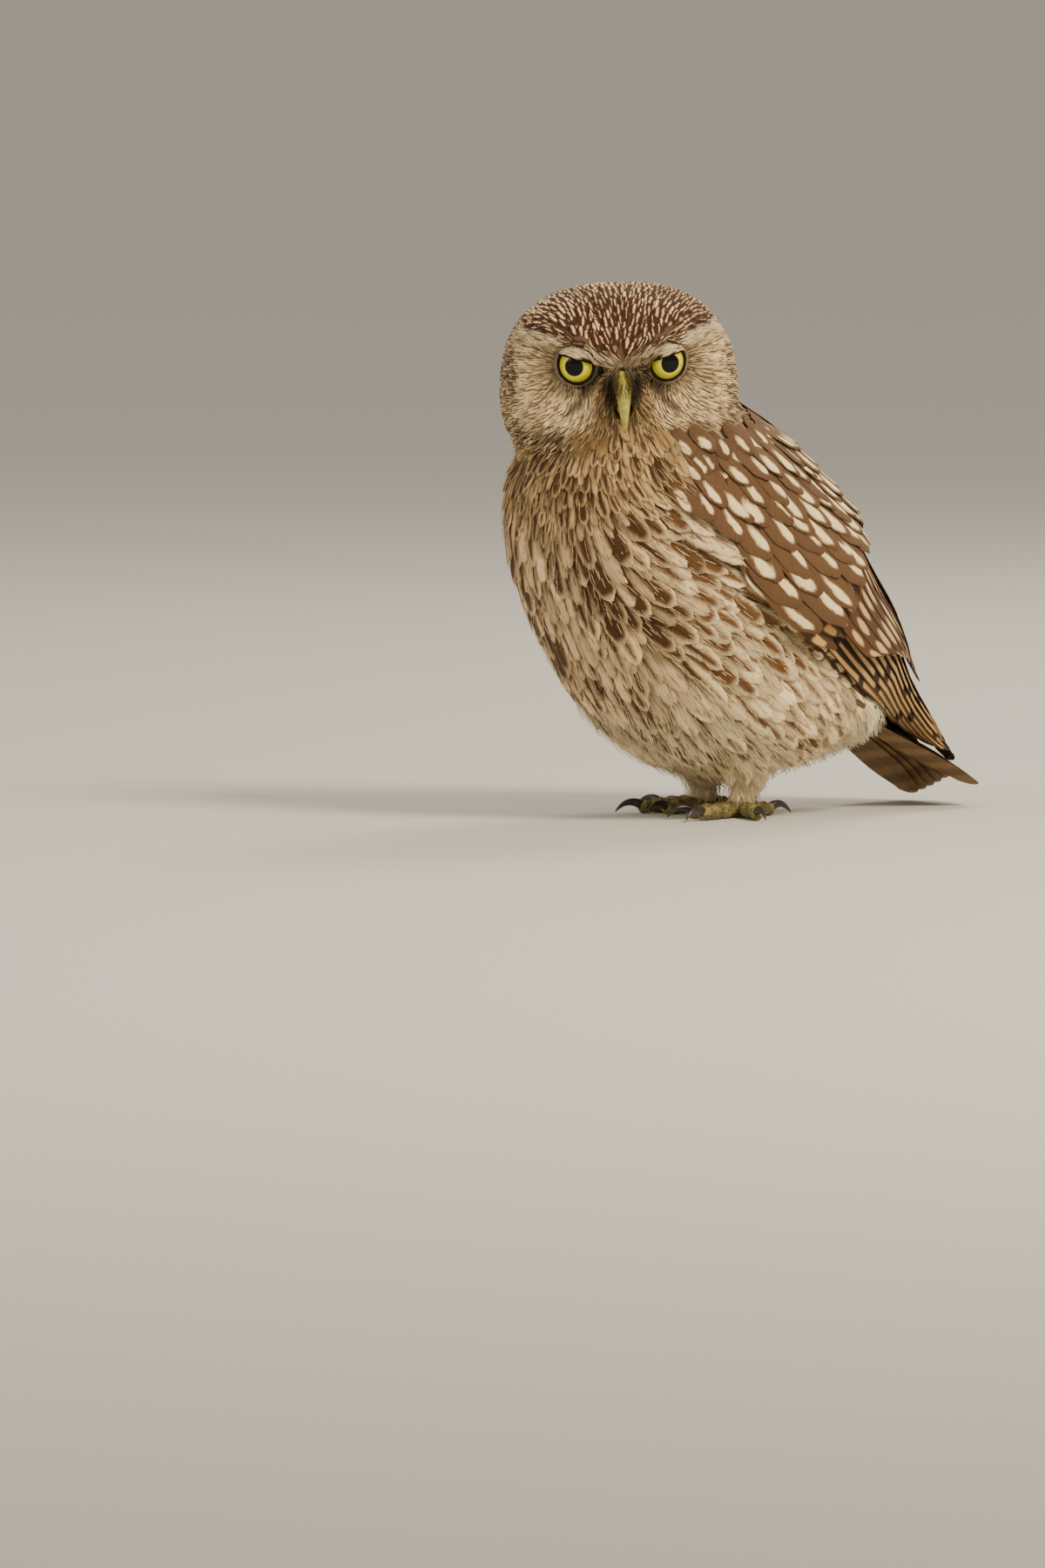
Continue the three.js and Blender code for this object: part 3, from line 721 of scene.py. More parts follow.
def vane_forms(rows, columns, split, widest=0.6, ragged=0.08, kinds=6):
    """Variants of a soft feather, closed all round: across, along, height and place on the web."""
    along = (1 - (1 - np.linspace(0, 1 - 1.2 * split, rows - 1)) ** 1.5) / (1 - (1.2 * split) ** 1.5)
    along = np.append(along * (1 - 1.2 * split), 1)
    v = np.repeat(along, columns)
    u = np.tile(np.linspace(-1, 1, columns), rows)
    row, column = np.divmod(np.arange(rows * columns), columns)
    end = np.sqrt(np.clip(1 - ((v - widest) / (1.02 - widest)) ** 2, 0.1, 1))
    half = np.where(v > widest, end, 0.2 + 0.8 * smooth(v, -0.2, widest))
    half = half * (1 - ragged * (row % 2) * (np.abs(u) > 0.99) * (v > 0.3))
    forms = []
    for _ in range(kinds):
        barb = np.where(column % 2 == 1, -split * chance.uniform(0.6, 1.3, len(u)), chance.uniform(-0.03, 0.03, len(u)))
        reach = v * (1 - 0.05 * np.abs(u) ** 2 * v) + barb * (row == rows - 1)
        forms.append(closed(np.stack([u * half, reach, 1 - u**2, u], -1), v, 0.4))
    return np.array(forms), closed_faces(rows, columns)


def closed(sheet, v, under):
    """A vane's upper and lower sheets, which meet round its edge."""
    both = np.concatenate([sheet, sheet])
    both[len(sheet) :, 2] *= -under
    v = np.concatenate([v, v])
    both[(v <= 0) | (v >= 1) | (np.abs(both[:, 3]) >= 1), 2] = 0
    return both


def closed_faces(rows, columns):
    i, j = np.divmod(np.arange((rows - 1) * (columns - 1)), columns - 1)
    a = i * columns + j
    b = a + columns
    faces = np.concatenate([np.stack([a, a + 1, b + 1], -1), np.stack([a, b + 1, b], -1)])
    return np.concatenate([faces, faces[:, ::-1] + rows * columns])


EYE_AXIS = np.array((math.sin(EYE_SPLAY), -math.cos(EYE_SPLAY), 0))


def from_eye(q):
    """Offsets of points of the head from the axis of the eye on their side."""
    side = np.where(q[:, 0] < 0, -1, 1)
    apart = q * np.stack([side, np.ones(len(q)), np.ones(len(q))], -1) - EYE_PLACE
    apart = apart - EYE_AXIS * (apart @ EYE_AXIS)[:, None]
    apart[:, 0] *= side
    return apart


def turned_in(points, facing):
    """True inside an eye socket, where no feather grows."""
    q = to_head(points)
    apart = from_eye(q)
    close = (np.linalg.norm(apart, axis=-1) < 9) & (q[:, 1] < -10)
    return close & ((facing @ HEAD_AXES * unit(apart)).sum(-1) < -0.2)


def surface_of(mesh):
    """Points and triangles of a mesh, in millimetres on the bird's plan, and the way each faces."""
    points = corners(mesh) / MM - SHIFT
    mesh.calc_loop_triangles()
    triangles = np.empty(len(mesh.loop_triangles) * 3, np.int32)
    mesh.loop_triangles.foreach_get("vertices", triangles)
    triangles = triangles.reshape(-1, 3)
    a, b, c = (points[triangles[:, k]] for k in range(3))
    facing = np.cross(b - a, c - a)
    outside = ~turned_in((a + b + c) / 3, unit(facing))
    return points, triangles[outside], facing[outside]


def form_tree(*meshes):
    """The surfaces that feathers lie on."""
    points, faces = [], []
    for mesh in meshes:
        own, triangles, _ = surface_of(mesh)
        faces += (triangles + len(points)).tolist()
        points += own.tolist()
    return BVHTree.FromPolygons(points, faces)


skin_tree = form_tree(skin_mesh)
face_tree = form_tree(skin_mesh, *eye_meshes[2:])


def nearest(points, tree):
    found = [tree.find_nearest(p) for p in points.tolist()]
    return np.array([f[0][:] for f in found]), np.array([f[1][:] for f in found])


LEG_WAY = np.array((0, 0.1, -1.0))
BILL_ROOT = np.array((0, -31.0, 8.0))


def lie(points, facing):
    """The way that feathers lie on the skin."""
    q = to_head(points)
    side = np.where(q[:, 0] < 0, -1, 1)
    x = np.abs(q[:, 0])
    away = unit(q - BILL_ROOT)
    back = smooth(q[:, 1], -2, 24)[:, None]
    on_head = away * (1 - back) + np.array((0, 0.35, -1)) * back
    eye = from_eye(q)
    front = smooth(-q[:, 1], 4, 14)
    near = (np.exp(-((np.linalg.norm(eye, axis=-1) / 15) ** 4)) * front * smooth(x, 5, 10))[:, None]
    on_head = on_head * (1 - near) + unit(eye * (1, 1, 1.15)) * near
    brow = (smooth(q[:, 2] - brow_line(x), -5.5, -2.5) * (1 - smooth(q[:, 2] - brow_line(x), 0, 4)) * front)[:, None]
    on_head = on_head * (1 - brow) + unit(vector(side, 0.35, 0.6 - 0.012 * x)) * brow
    lore = (smooth(-q[:, 2], -9, 2) * (1 - smooth(x, 6, 11)) * front)[:, None]
    on_head = on_head * (1 - lore) + unit(vector(side * 0.42, 0, -1)) * lore
    station, angle = body_place(points)
    head = head_share(q)[:, None]
    trunk = body_way(station)
    a = np.abs(angle)
    sweep = smooth(a, 1.2, 1.7) * (1 - smooth(a, 2.2, 2.8)) * smooth(station, 0.8, 1.3) * (1 - smooth(station, 2.9, 3.8))
    round_body = unit(plumage(station, angle - STEP * np.sign(angle)) - plumage(station, angle))
    hang = 0.9 * smooth(station, 1.9, 3.0) * smooth(a, 1.4, 1.9)
    trunk = unit(trunk + round_body * (0.6 * sweep)[:, None] + vector(0, 0, -hang))
    way = (unit(on_head) @ HEAD_AXES.T) * head + trunk * (1 - head)
    leg = (smooth(22 - points[:, 2], 0, 10) * (1 - smooth(np.abs(points[:, 1]), 20, 30)))[:, None]
    way = way * (1 - leg) + LEG_WAY * leg
    return unit(way - facing * (way * facing).sum(-1, keepdims=True))


def head_unwrap(points):
    q = unit(to_head(points))
    spread = np.sqrt(np.maximum(1 - q[:, 2], 0) / 2) * 0.49
    turn = np.arctan2(q[:, 0], -q[:, 1])
    return np.stack([0.5 + spread * np.sin(turn), 0.5 + spread * np.cos(turn)], -1)


def body_unwrap(points):
    station, angle = body_place(points)
    return np.stack([0.5 + angle / math.tau * 0.98, 0.01 + station / 7 * 0.98], -1)


def coat_mesh(name, forms, faces, rails, sides, tops, half, camber, thickness, tones, strength, unwrapped, hand=1):
    """Sets a form on each feather's centreline and joins them all in one mesh."""
    count, rows = rails.shape[:2]
    form = forms[chance.integers(0, len(forms), count)]
    across, v, height, u = (form[..., i] for i in range(4))
    k = np.clip((v * (rows - 1)).astype(int), 0, rows - 2)
    t = (v * (rows - 1) - k)[..., None]

    def along(values):
        low = np.take_along_axis(values, k[..., None], 1)
        return low * (1 - t) + np.take_along_axis(values, k[..., None] + 1, 1) * t

    rise = (thickness * height - camber * u**2 * np.abs(across)) * half[:, None]
    points = along(rails) + unit(along(sides)) * (across * half[:, None])[..., None]
    points = points + unit(along(tops)) * rise[..., None]
    size = form.shape[1]
    triangles = (faces[None] + np.arange(count)[:, None, None] * size).reshape(-1, 3)
    mesh = bpy.data.meshes.new(name)
    mesh.vertices.add(count * size)
    mesh.vertices.foreach_set("co", placed(points.reshape(-1, 3)).ravel().astype(np.float32))
    mesh.loops.add(triangles.size)
    mesh.loops.foreach_set("vertex_index", triangles.ravel().astype(np.int32))
    mesh.polygons.add(len(triangles))
    mesh.polygons.foreach_set("loop_start", np.arange(0, triangles.size, 3, dtype=np.int32))
    mesh.update(calc_edges=True)
    mesh.shade_smooth()
    vane = np.empty((count, size, 3), np.float32)
    vane[..., 0] = u * np.reshape(hand, (-1, 1))
    vane[..., 1] = v
    vane[..., 2] = chance.random(count)[:, None]
    mesh.attributes.new("vane", "FLOAT_VECTOR", "POINT").data.foreach_set("vector", vane.ravel())
    for key, tint in zip(("ground", "mark"), tones):
        full = np.ones((count, size, 4), np.float32)
        full[..., :3] = tint[:, None]
        full[..., 3] = strength[:, None]
        mesh.color_attributes.new(key, "FLOAT_COLOR", "POINT").data.foreach_set("color", full.ravel())
    patch = unwrapped[:, None] + 0.0015 * np.stack([u, 2 * v - 1], -1)
    baked = patch.reshape(-1, 2)[triangles.ravel()].astype(np.float32)
    mesh.uv_layers.new(name="OFBake").data.foreach_set("uv", baked.ravel())
    return mesh


def scattered(wanted, across, along, tries, mesh=skin_mesh):
    """Places on the skin where wanted gives more than a half, spread out across and along its lie."""
    surface, triangles, facing = surface_of(mesh)
    a, b, c = (surface[triangles[:, k]] for k in range(3))
    inside = np.flatnonzero(wanted((a + b + c) / 3) > 0.5)
    facing = facing[inside]
    size = np.linalg.norm(facing, axis=-1)
    pick = chance.choice(len(inside), tries, p=size / size.sum())
    chosen = inside[pick]
    r = chance.random((tries, 2))
    r = np.where(r.sum(-1, keepdims=True) > 1, 1 - r, r)
    points = a[chosen] + (b - a)[chosen] * r[:, :1] + (c - a)[chosen] * r[:, 1:]
    ways = lie(points, unit(facing[pick]))
    tree = KDTree(tries)
    for i, p in enumerate(points.tolist()):
        tree.insert(p, i)
    tree.balance()
    kept, gone = [], np.zeros(tries, bool)
    for i, p in enumerate(points.tolist()):
        if gone[i]:
            continue
        kept.append(i)
        close = np.array([j for _, j, _ in tree.find_range(p, along)])
        apart = points[close] - points[i]
        down = apart @ ways[i]
        aside = (apart**2).sum(-1) - down**2
        gone[close[(down / along) ** 2 + aside / across**2 < 1]] = True
    return points[kept]


def sprout(name, roots, forms, length, width, rise, material, unwrap, *, tree=skin_tree,
           strength=None, start=0.1, stray=0.12, camber=0.25, thickness=0.06, over=None, odd=0.0, way_of=lie,
           rows=6, shade=1.0, region=None):
    """Grows one feather from each root, along the lie of the plumage."""
    count = len(roots)
    length = length * chance.uniform(0.85, 1.15, count)
    half = width / 2 * chance.uniform(0.85, 1.15, count)
    rise = rise * chance.uniform(0.7, 1.3, count)
    points, facing = nearest(roots, tree)
    first = facing
    way = way_of(points, facing)
    way = unit(way + np.cross(facing, way) * chance.normal(0, stray, count)[:, None])
    rails, tops, ways = [points], [facing], [way]
    for _ in range(rows - 1):
        points, facing = nearest(rails[-1] + way * (length / (rows - 1))[:, None], tree)
        way = way * 0.6 + way_of(points, facing) * 0.4
        way = unit(way - facing * (way * facing).sum(-1, keepdims=True))
        rails.append(points)
        tops.append(facing)
        ways.append(way)
    rails, tops, ways = (np.stack(v, 1) for v in (rails, tops, ways))
    tops = unit(tops + 0.5 * first[:, None] + 0.5 * tops.mean(1, keepdims=True))
    t = np.linspace(0, 1, rows)[None, :, None]
    lift = start + rise[:, None, None] * t**1.1
    if over:
        lift = lift + over(rails.reshape(-1, 3)).reshape(count, rows, 1)
    rails = rails + tops * lift
    rails[..., 2] = np.maximum(rails[..., 2], 0.7)
    tones = [np.tile(TONES[region][k], (count, 1)) if region else tones_at(roots, k) for k in (0, 1)]
    darker = ((chance.random(count) < odd) * 0.75)[:, None]
    vary = chance.normal(1, 0.08, count)[:, None] * shade
    ground = (tones[0] * (1 - darker) + tones[1] * darker) * vary
    power = strength(roots) if strength else np.ones(count)
    mesh = coat_mesh(name, *forms, rails, np.cross(ways, tops), tops, half, camber, thickness,
                     (ground, tones[1] * vary), power, unwrap(roots))
    mesh.materials.append(material)
    piece = link(name, mesh)
    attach(piece, "root")
    return piece


def feather_look(name, pattern, roughness=0.8, barbs=26.0, shaft=0.0, depth=0.0003):
    """A feather's finish: a marking over the ground colour, fine barbs and the shaft's line."""
    material, tree, shader = fresh(name, roughness, sheen_weight=0.05, specular_ior_level=0.2)
    vane = tree.nodes.new("ShaderNodeSeparateXYZ")
    tree.links.new(attribute(tree, "vane").outputs["Vector"], vane.inputs[0])
    u, v, seed = (Wire(tree, socket) for socket in vane.outputs)
    slant = v - abs(u) * 0.22
    wander = speckle(tree, joined(tree, u * 1.3, v * 2.2, seed * 97.0), 2.2) - 0.5
    fringe = speckle(tree, joined(tree, u * 0.8, slant * barbs, seed * 31.0), 1.0, 3.0) - 0.5
    marking = attribute(tree, "mark")
    mask = pattern(u, v, seed, Wire(tree, marking.outputs["Alpha"]), wander, fringe)
    tint = mixed(tree, mask, attribute(tree, "ground").outputs["Color"], marking.outputs["Color"])
    line = abs(u).fall(0.02, 0.07)
    tint = lit(tree, tint, fringe * 0.5 + 1.0 + line * shaft)
    tree.links.new(tint, shader.inputs["Base Color"])
    bumped(tree, shader, fringe + line * 0.6, depth)
    return material


def streaked(u, v, seed, width, wander, fringe):
    """A brown streak down the shaft, with a brown foot and a pale tip."""
    web = seed.math("GREATER_THAN", 0.6)
    off = abs(abs(u + wander * 0.4) - web) + fringe * 0.25
    shaft = (width * (v * -0.5 + 1.0) - off).rise(-0.4, 0.34) * v.fall(0.78, 1.0)
    return shaft.math("MAXIMUM", (v + fringe * 0.2 + wander * 0.2).fall(0.2, 0.55) * (width * 1.6).rise(0.1, 0.7) * 0.55)


def dashed(u, v, seed, width, wander, fringe):
    """A pale dash near the tip of a dark feather."""
    return (width - abs(u + wander * 1.1) - fringe * 0.15).rise(-0.1, 0.1) * v.rise(0.28, 0.42) * v.fall(0.84, 0.93)


def plain(u, v, seed, width, wander, fringe):
    """Darker only at the foot."""
    return (v + wander * 0.4).fall(0.2, 0.55) * 0.6


def on_region(*names):
    def wanted(points):
        shares = region_shares(points)
        return sum(shares[n] for n in names)
    return wanted


def wing_edge(station):
    """The angle of the folded wing's front edge, in degrees."""
    return 92 + 20 * (1 - smooth(station, 1.2, 2.3))


def wing_level(station):
    """How far the wing's coverts stand out from the plumage's form."""
    return np.interp(station, (1.0, 1.3, 2.05, 2.7, 3.4, 4.2), (-2.4, -0.4, 1.6, 2.2, 2.1, 0.9))


def clear_of_wing(points):
    """0 under the folded wings, where no body feather shows."""
    station, angle = body_place(points)
    a = np.abs(angle)
    edge = np.radians(wing_edge(station)) + 0.14 * smooth(station, 2.2, 2.8)
    covered = smooth(a, 0.2, 0.4) * (1 - smooth(a, edge - 0.3, edge - 0.12)) * smooth(station, 1.25, 1.6)
    return 1 - covered


def clear_of_eyes(points):
    q = to_head(points)
    eye = np.linalg.norm(from_eye(q), axis=-1) < 6.2
    bill = np.hypot(q[:, 0] / 3.0, q[:, 2] / 7.0) < 1
    return 1 - (q[:, 1] < -8) * (eye | bill)


def beyond_face(points):
    """Off the face, where fine hair-like feathers grow straight from the skin."""
    q = to_head(points)
    return 1 - (q[:, 1] < -8) * (np.abs(q[:, 0]) < 27) * (q[:, 2] < brow_line(np.abs(q[:, 0])) + 3) * (q[:, 2] > -14)


def on_brow(points):
    """The pale band over the eyes, from the bill's root to the temples."""
    q = to_head(points)
    x = np.abs(q[:, 0])
    under = brow_line(x) - q[:, 2]
    return (under > -1.5) * (under < np.interp(x, (0, 8, 16, 30), (3.0, 4.5, 4.5, 6.5))) * (q[:, 1] < -6) * 1.0


def both(*tests):
    def wanted(points):
        result = 1
        for test in tests:
            result = result * test(points)
        return result
    return wanted


def over_wing(points):
    """How far a flank feather is held out where it lies over the wing's front edge."""
    station, angle = body_place(points)
    a = np.abs(angle)
    edge = np.radians(wing_edge(station))
    inside = (1 - smooth(a, edge - 0.04, edge + 0.14)) * smooth(station, 0.45, 0.8) * (1 - smooth(station, 2.3, 2.9))
    return inside * (3.7 + wing_level(station))


def uneven(points, low, high):
    """A different number for each feather, which also drifts over the body."""
    drift = np.sin(points @ (0.11, 0.07, 0.16)) * np.sin(points @ (-0.05, 0.13, 0.09) + 1)
    return low + (high - low) * np.clip(0.5 + 0.4 * drift + chance.normal(0, 0.24, len(points)), 0, 1)


def body_streaks(points):
    station, angle = body_place(points)
    share = np.interp(station, (0.8, 1.5, 2.4, 3.2, 4.2), (0.85, 0.75, 0.6, 0.36, 0.05))
    return share * uneven(points, 0.15, 1.8)


def on_lid(points):
    """The upper lid's feathered part, above its black margin."""
    q = to_head(points)
    eye = from_eye(q)
    height = eye[:, 2] - 1.0 - lid_line(eye[:, 0] * np.sign(q[:, 0]))
    return (height > 0) * (np.linalg.norm(eye, axis=-1) < 7.1) * 1.0


def high_up(points):
    return head_share(to_head(points))


def low_down(points):
    q = to_head(points)
    return (head_level(q) - 0.3 * smooth(q[:, 2], -4, 6) > 1.15) * 1.0


fine = vane_forms(5, 5, 0.06)
hair = vane_forms(4, 3, 0.1, ragged=0)
soft = vane_forms(8, 9, 0.12)
loose = vane_forms(9, 13, 0.07)
ON_HEAD = ("crown", "brow", "disc", "lores", "cheek", "chin")
UNDER = ("breast", "flank", "belly", "vent")
plain_look = feather_look("plain_feathers", plain, 0.85, 12.0)

sprout(
    "head_down", scattered(both(on_region(*REGIONS), beyond_face, high_up), 1.6, 2.2, 12000),
    fine, 4.2, 2.0, 0.2, plain_look, head_unwrap, stray=0.3, rows=4,
)
sprout(
    "crown_feathers", scattered(on_region("crown"), 1.15, 2.9, 24000), fine, 6.6, 2.3, 0.8,
    feather_look("crown_feathers", dashed, 0.85, 16.0), head_unwrap,
    strength=lambda p: uneven(p, 0.14, 0.44), stray=0.14, camber=0.12,
)
sprout(
    "face_feathers", scattered(both(on_region("disc", "lores"), clear_of_eyes), 0.36, 1.25, 60000), hair, 4.4, 0.36, 0.5,
    plain_look, head_unwrap, tree=face_tree, stray=0.16, odd=0.2, rows=4, shade=1.14,
)
sprout(
    "cheek_feathers", scattered(on_region("cheek", "chin"), 0.8, 2.2, 20000), hair, 5.4, 1.0, 0.9,
    feather_look("cheek_feathers", streaked, 0.85, 16.0), head_unwrap,
    strength=lambda p: uneven(p, 0.3, 1.0), stray=0.22, odd=0.3, rows=4,
)
sprout(
    "brow_feathers", scattered(both(on_brow, clear_of_eyes), 0.36, 1.2, 30000), hair, 5.6, 0.42, 0.8,
    plain_look, head_unwrap, tree=face_tree, stray=0.12, odd=0.14, start=0.25, rows=5,
)
sprout(
    "lid_feathers", np.concatenate([scattered(on_lid, 0.32, 0.8, 1600, mesh) for mesh in eye_meshes[2:]]),
    hair, 3.0, 0.4, 0.35, plain_look, head_unwrap, tree=face_tree, stray=0.1, odd=0.1, rows=4,
)
sprout(
    "body_down", scattered(both(on_region(*REGIONS), clear_of_wing, low_down), 3.0, 3.8, 9000), fine, 9, 5, 0.5,
    plain_look, body_unwrap, stray=0.2, rows=4,
)
sprout(
    "neck_feathers", scattered(both(on_region("neck"), clear_of_wing), 2.0, 4.2, 9000), soft, 11, 3.8, 1.3,
    feather_look("neck_feathers", streaked, 0.85, 24.0), body_unwrap,
    strength=lambda p: uneven(p, 0.3, 1.1), stray=0.18, over=over_wing, camber=0.15,
)
breast_look = feather_look("breast_feathers", streaked, 0.85, 34.0)
sprout(
    "breast_feathers", scattered(both(on_region("breast", "flank"), clear_of_wing), 3.6, 6.2, 7000), loose, 17, 7, 1.5,
    breast_look, body_unwrap, strength=body_streaks, stray=0.14, over=over_wing, camber=0.15,
)
sprout(
    "belly_feathers", scattered(both(on_region("belly", "vent"), clear_of_wing), 3.6, 6.0, 7000), loose, 18, 7.2, 1.8,
    breast_look, body_unwrap, strength=body_streaks, stray=0.16, camber=0.15,
)
sprout(
    "breast_hairs", scattered(both(on_region("neck", "breast", "flank"), clear_of_wing), 0.9, 2.2, 26000), hair, 8, 0.28, 1.8,
    plain_look, body_unwrap, stray=0.25, odd=0.3, over=over_wing, rows=4,
)
sprout(
    "belly_hairs", scattered(both(on_region("belly", "vent", "leg"), clear_of_wing), 0.75, 1.9, 36000), hair, 12, 0.24, 3.4,
    plain_look, body_unwrap, stray=0.3, odd=0.12, rows=4,
)
sprout(
    "leg_feathers", scattered(on_region("leg"), 1.1, 2.2, 9000), fine, 5.0, 1.6, 0.8,
    plain_look, body_unwrap, stray=0.2, rows=4,
)


# Bristles
# Stiff dark bristles stand round the root of the bill and sweep down beside it.
def down_beside_bill(points, facing):
    q = to_head(points)
    side = np.where(q[:, 0] < 0, -1, 1)
    way = unit(vector(side * 0.25, -0.9, -0.8)) @ HEAD_AXES.T
    return unit(way - 0.6 * facing * (way * facing).sum(-1, keepdims=True))


def beside_bill(points):
    q = to_head(points)
    x = np.abs(q[:, 0])
    beside = (x > 2.2) & (x < 4.8) & (q[:, 2] > 2) & (q[:, 2] < 10.5)
    above = (x < 3.4) & (q[:, 2] > 8.5) & (q[:, 2] < 13)
    return (beside | above) * (q[:, 1] < -15) * 1.0


def over_bill(points):
    return (to_head(points)[:, 2] > 5.8) * 1.0


sprout(
    "bristles",
    np.concatenate([scattered(beside_bill, 0.36, 0.65, 9000), scattered(over_bill, 0.5, 0.8, 1500, bill_meshes[0])]),
    hair, 6.0, 0.26, 1.4,
    plain_look, head_unwrap, tree=form_tree(skin_mesh, *bill_meshes), stray=0.3, odd=0.8,
    way_of=down_beside_bill, rows=6, shade=0.42,
)


# Folded wings
# Nine primaries, the secondaries and the tertials lie closed over each other under rows of coverts,
# with the scapulars over the shoulder. Each vane follows the body's form and overlaps the next.
def long_forms(rows, columns, blunt, narrow=0.55):
    """A flight feather or covert: parallel edges and a rounded tip, closed all round."""
    v = np.repeat(1 - (1 - np.linspace(0, 1, rows)) ** 1.35, columns)
    u = np.tile(np.linspace(-1, 1, columns), rows)
    end = np.sqrt(np.maximum(1 - (1 - blunt**2) * smooth(v, 0.68, 1) ** 1.5, 0))
    half = (narrow + (1 - narrow) * smooth(v, 0, 0.35)) * end
    reach = v - 0.055 * np.abs(u) ** 2.6 * v**3
    return closed(np.stack([u * half, reach, 1 - u**2, u], -1), v, 1)[None], closed_faces(rows, columns)


class Tier:
    """Rows of a wing's vanes, each feather laid from its root to its tip over the body's form."""

    def __init__(self):
        self.rails, self.sides, self.tops, self.half, self.hands = [], [], [], [], []

    def lay(self, side, root, tip, width, lifts, tilt):
        t = np.linspace(0, 1, 9)
        station = root[0] + (tip[0] - root[0]) * t
        angle = side * np.radians(root[1] + (tip[1] - root[1]) * t)
        level = lifts[0] + (lifts[1] - lifts[0]) * t
        middle = on_plumage(station, angle, level)
        turn = 2 / around(station, angle)
        across = unit(on_plumage(station, angle + side * turn, level + tilt * 2) - middle)
        top = outward(station, angle)
        self.rails.append(middle)
        self.sides.append(across * side)
        self.hands.append(side)
        self.tops.append(unit(top - across * (top * across).sum(-1, keepdims=True)))
        self.half.append(width / 2)

    def row(self, side, count, roots, tips, width, tilt, lifts=None, sunk=1.0, proud=0.4, uneven=0.0):
        """One row, evenly spread between its first and last feather; stations and degrees."""
        for i, share in enumerate(np.linspace(0, 1, count)):
            root = [a + (b - a) * share for a, b in zip(*roots)]
            tip = tips[i] if len(tips) == count and count != 2 else [a + (b - a) * share for a, b in zip(*tips)]
            tip = (tip[0] + chance.uniform(-0.06, 0.06) * uneven, tip[1] + chance.uniform(-1, 1) * uneven)
            level = lifts(i) if lifts else (float(wing_level(root[0])) - sunk, float(wing_level(tip[0])) + proud)
            self.lay(side, root, tip, width, level, tilt)

    def piece(self, name, forms, tones, material, camber=0.05, thickness=0.045):
        rails, sides, tops = (np.array(v) for v in (self.rails, self.sides, self.tops))
        count = len(self.half)
        vary = chance.normal(1, 0.05, count)[:, None]
        pair = [np.broadcast_to(tone, (count, 3)) * vary for tone in tones]
        mesh = coat_mesh(name, *forms, rails, sides, tops, np.array(self.half), camber, thickness, pair,
                         np.ones(count), body_unwrap(rails[:, 4]), self.hands)
        mesh.materials.append(material)
        piece = link(name, mesh)
        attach(piece, "root")
        return piece


def spotted(u, v, seed, width, wander, fringe):
    """A large pale oval near the tip, mostly on the outer web, with a sharp end and a soft beginning."""
    side = seed.math("GREATER_THAN", 0.25) * 0.7 - 0.35
    ahead = (v - 0.76 + wander * 0.05).math("MAXIMUM", 0.0) / 0.15
    behind = (v - 0.76 + wander * 0.05).math("MINIMUM", 0.0) / 0.36
    size = (seed * 7.0).math("FRACT") * 0.22 + 0.32
    far = (((u - side + wander * 0.5) / size) ** 2.0 + ahead * ahead + behind * behind) ** 0.5
    return (far + fringe * 0.4).fall(0.6, 1.12)


def barred(u, v, seed, width, wander, fringe):
    """Long pale bars on the outer web."""
    wave = ((v + wander * 0.03) * 3.4 + seed).math("FRACT")
    bar = abs(wave - 0.5).fall(0.4, 0.46)
    outer = u.rise(0.5, 0.62) * u.fall(0.82, 0.92)
    return bar * outer * v.fall(0.86, 0.94)


def tipped(u, v, seed, width, wander, fringe):
    """Pale spots along the outer web and a pale tip edge."""
    wave = (((v + wander * 0.05) * 3.4 + seed).math("FRACT") - 0.5) * 2.7
    aside = (u - 0.62 + wander * 0.2) / 0.24
    spot = (wave * wave + aside * aside + fringe * 0.5).fall(0.35, 1.15)
    return spot.math("MAXIMUM", v.rise(0.97, 0.99) * 0.5) * 0.85


def block_spotted(u, v, seed, width, wander, fringe):
    """A squarish ochre spot on the outer web of each primary covert, and a paler edge."""
    spot = abs(v - 0.8 + wander * 0.05).fall(0.05, 0.08) * u.rise(0.1, 0.25) * u.fall(0.75, 0.92)
    return spot.math("MAXIMUM", u.rise(0.86, 0.96) * v.fall(0.5, 0.7))


def edged(u, v, seed, width, wander, fringe):
    """A clear pale edge along the outer web."""
    return u.rise(0.62, 0.78) * v.rise(0.1, 0.3)


WING_TONES = (colour("664a30"), colour("ffe4b0"))
FLIGHT_TONES = (colour("33200f"), colour("c89c60"))
SECONDARY_TONES = (colour("5a3b20"), colour("e2c088"))
BLOCK_TONES = (colour("5a3f28"), colour("d8a868"))
flight_look = feather_look("flight_feathers", barred, 0.6, 90.0, 0.3)
secondary_look = feather_look("secondary_feathers", tipped, 0.6, 80.0, 0.3)
block_look = feather_look("primary_coverts", block_spotted, 0.6, 60.0, 0.3)
alula_look = feather_look("alula_feathers", edged, 0.6, 60.0, 0.3)
covert_look = feather_look("covert_feathers", spotted, 0.7, 46.0, 0.2)
long_vane = long_forms(18, 9, 0.3)
short_vane = long_forms(12, 9, 0.5)
small_vane = long_forms(7, 7, 0.5)

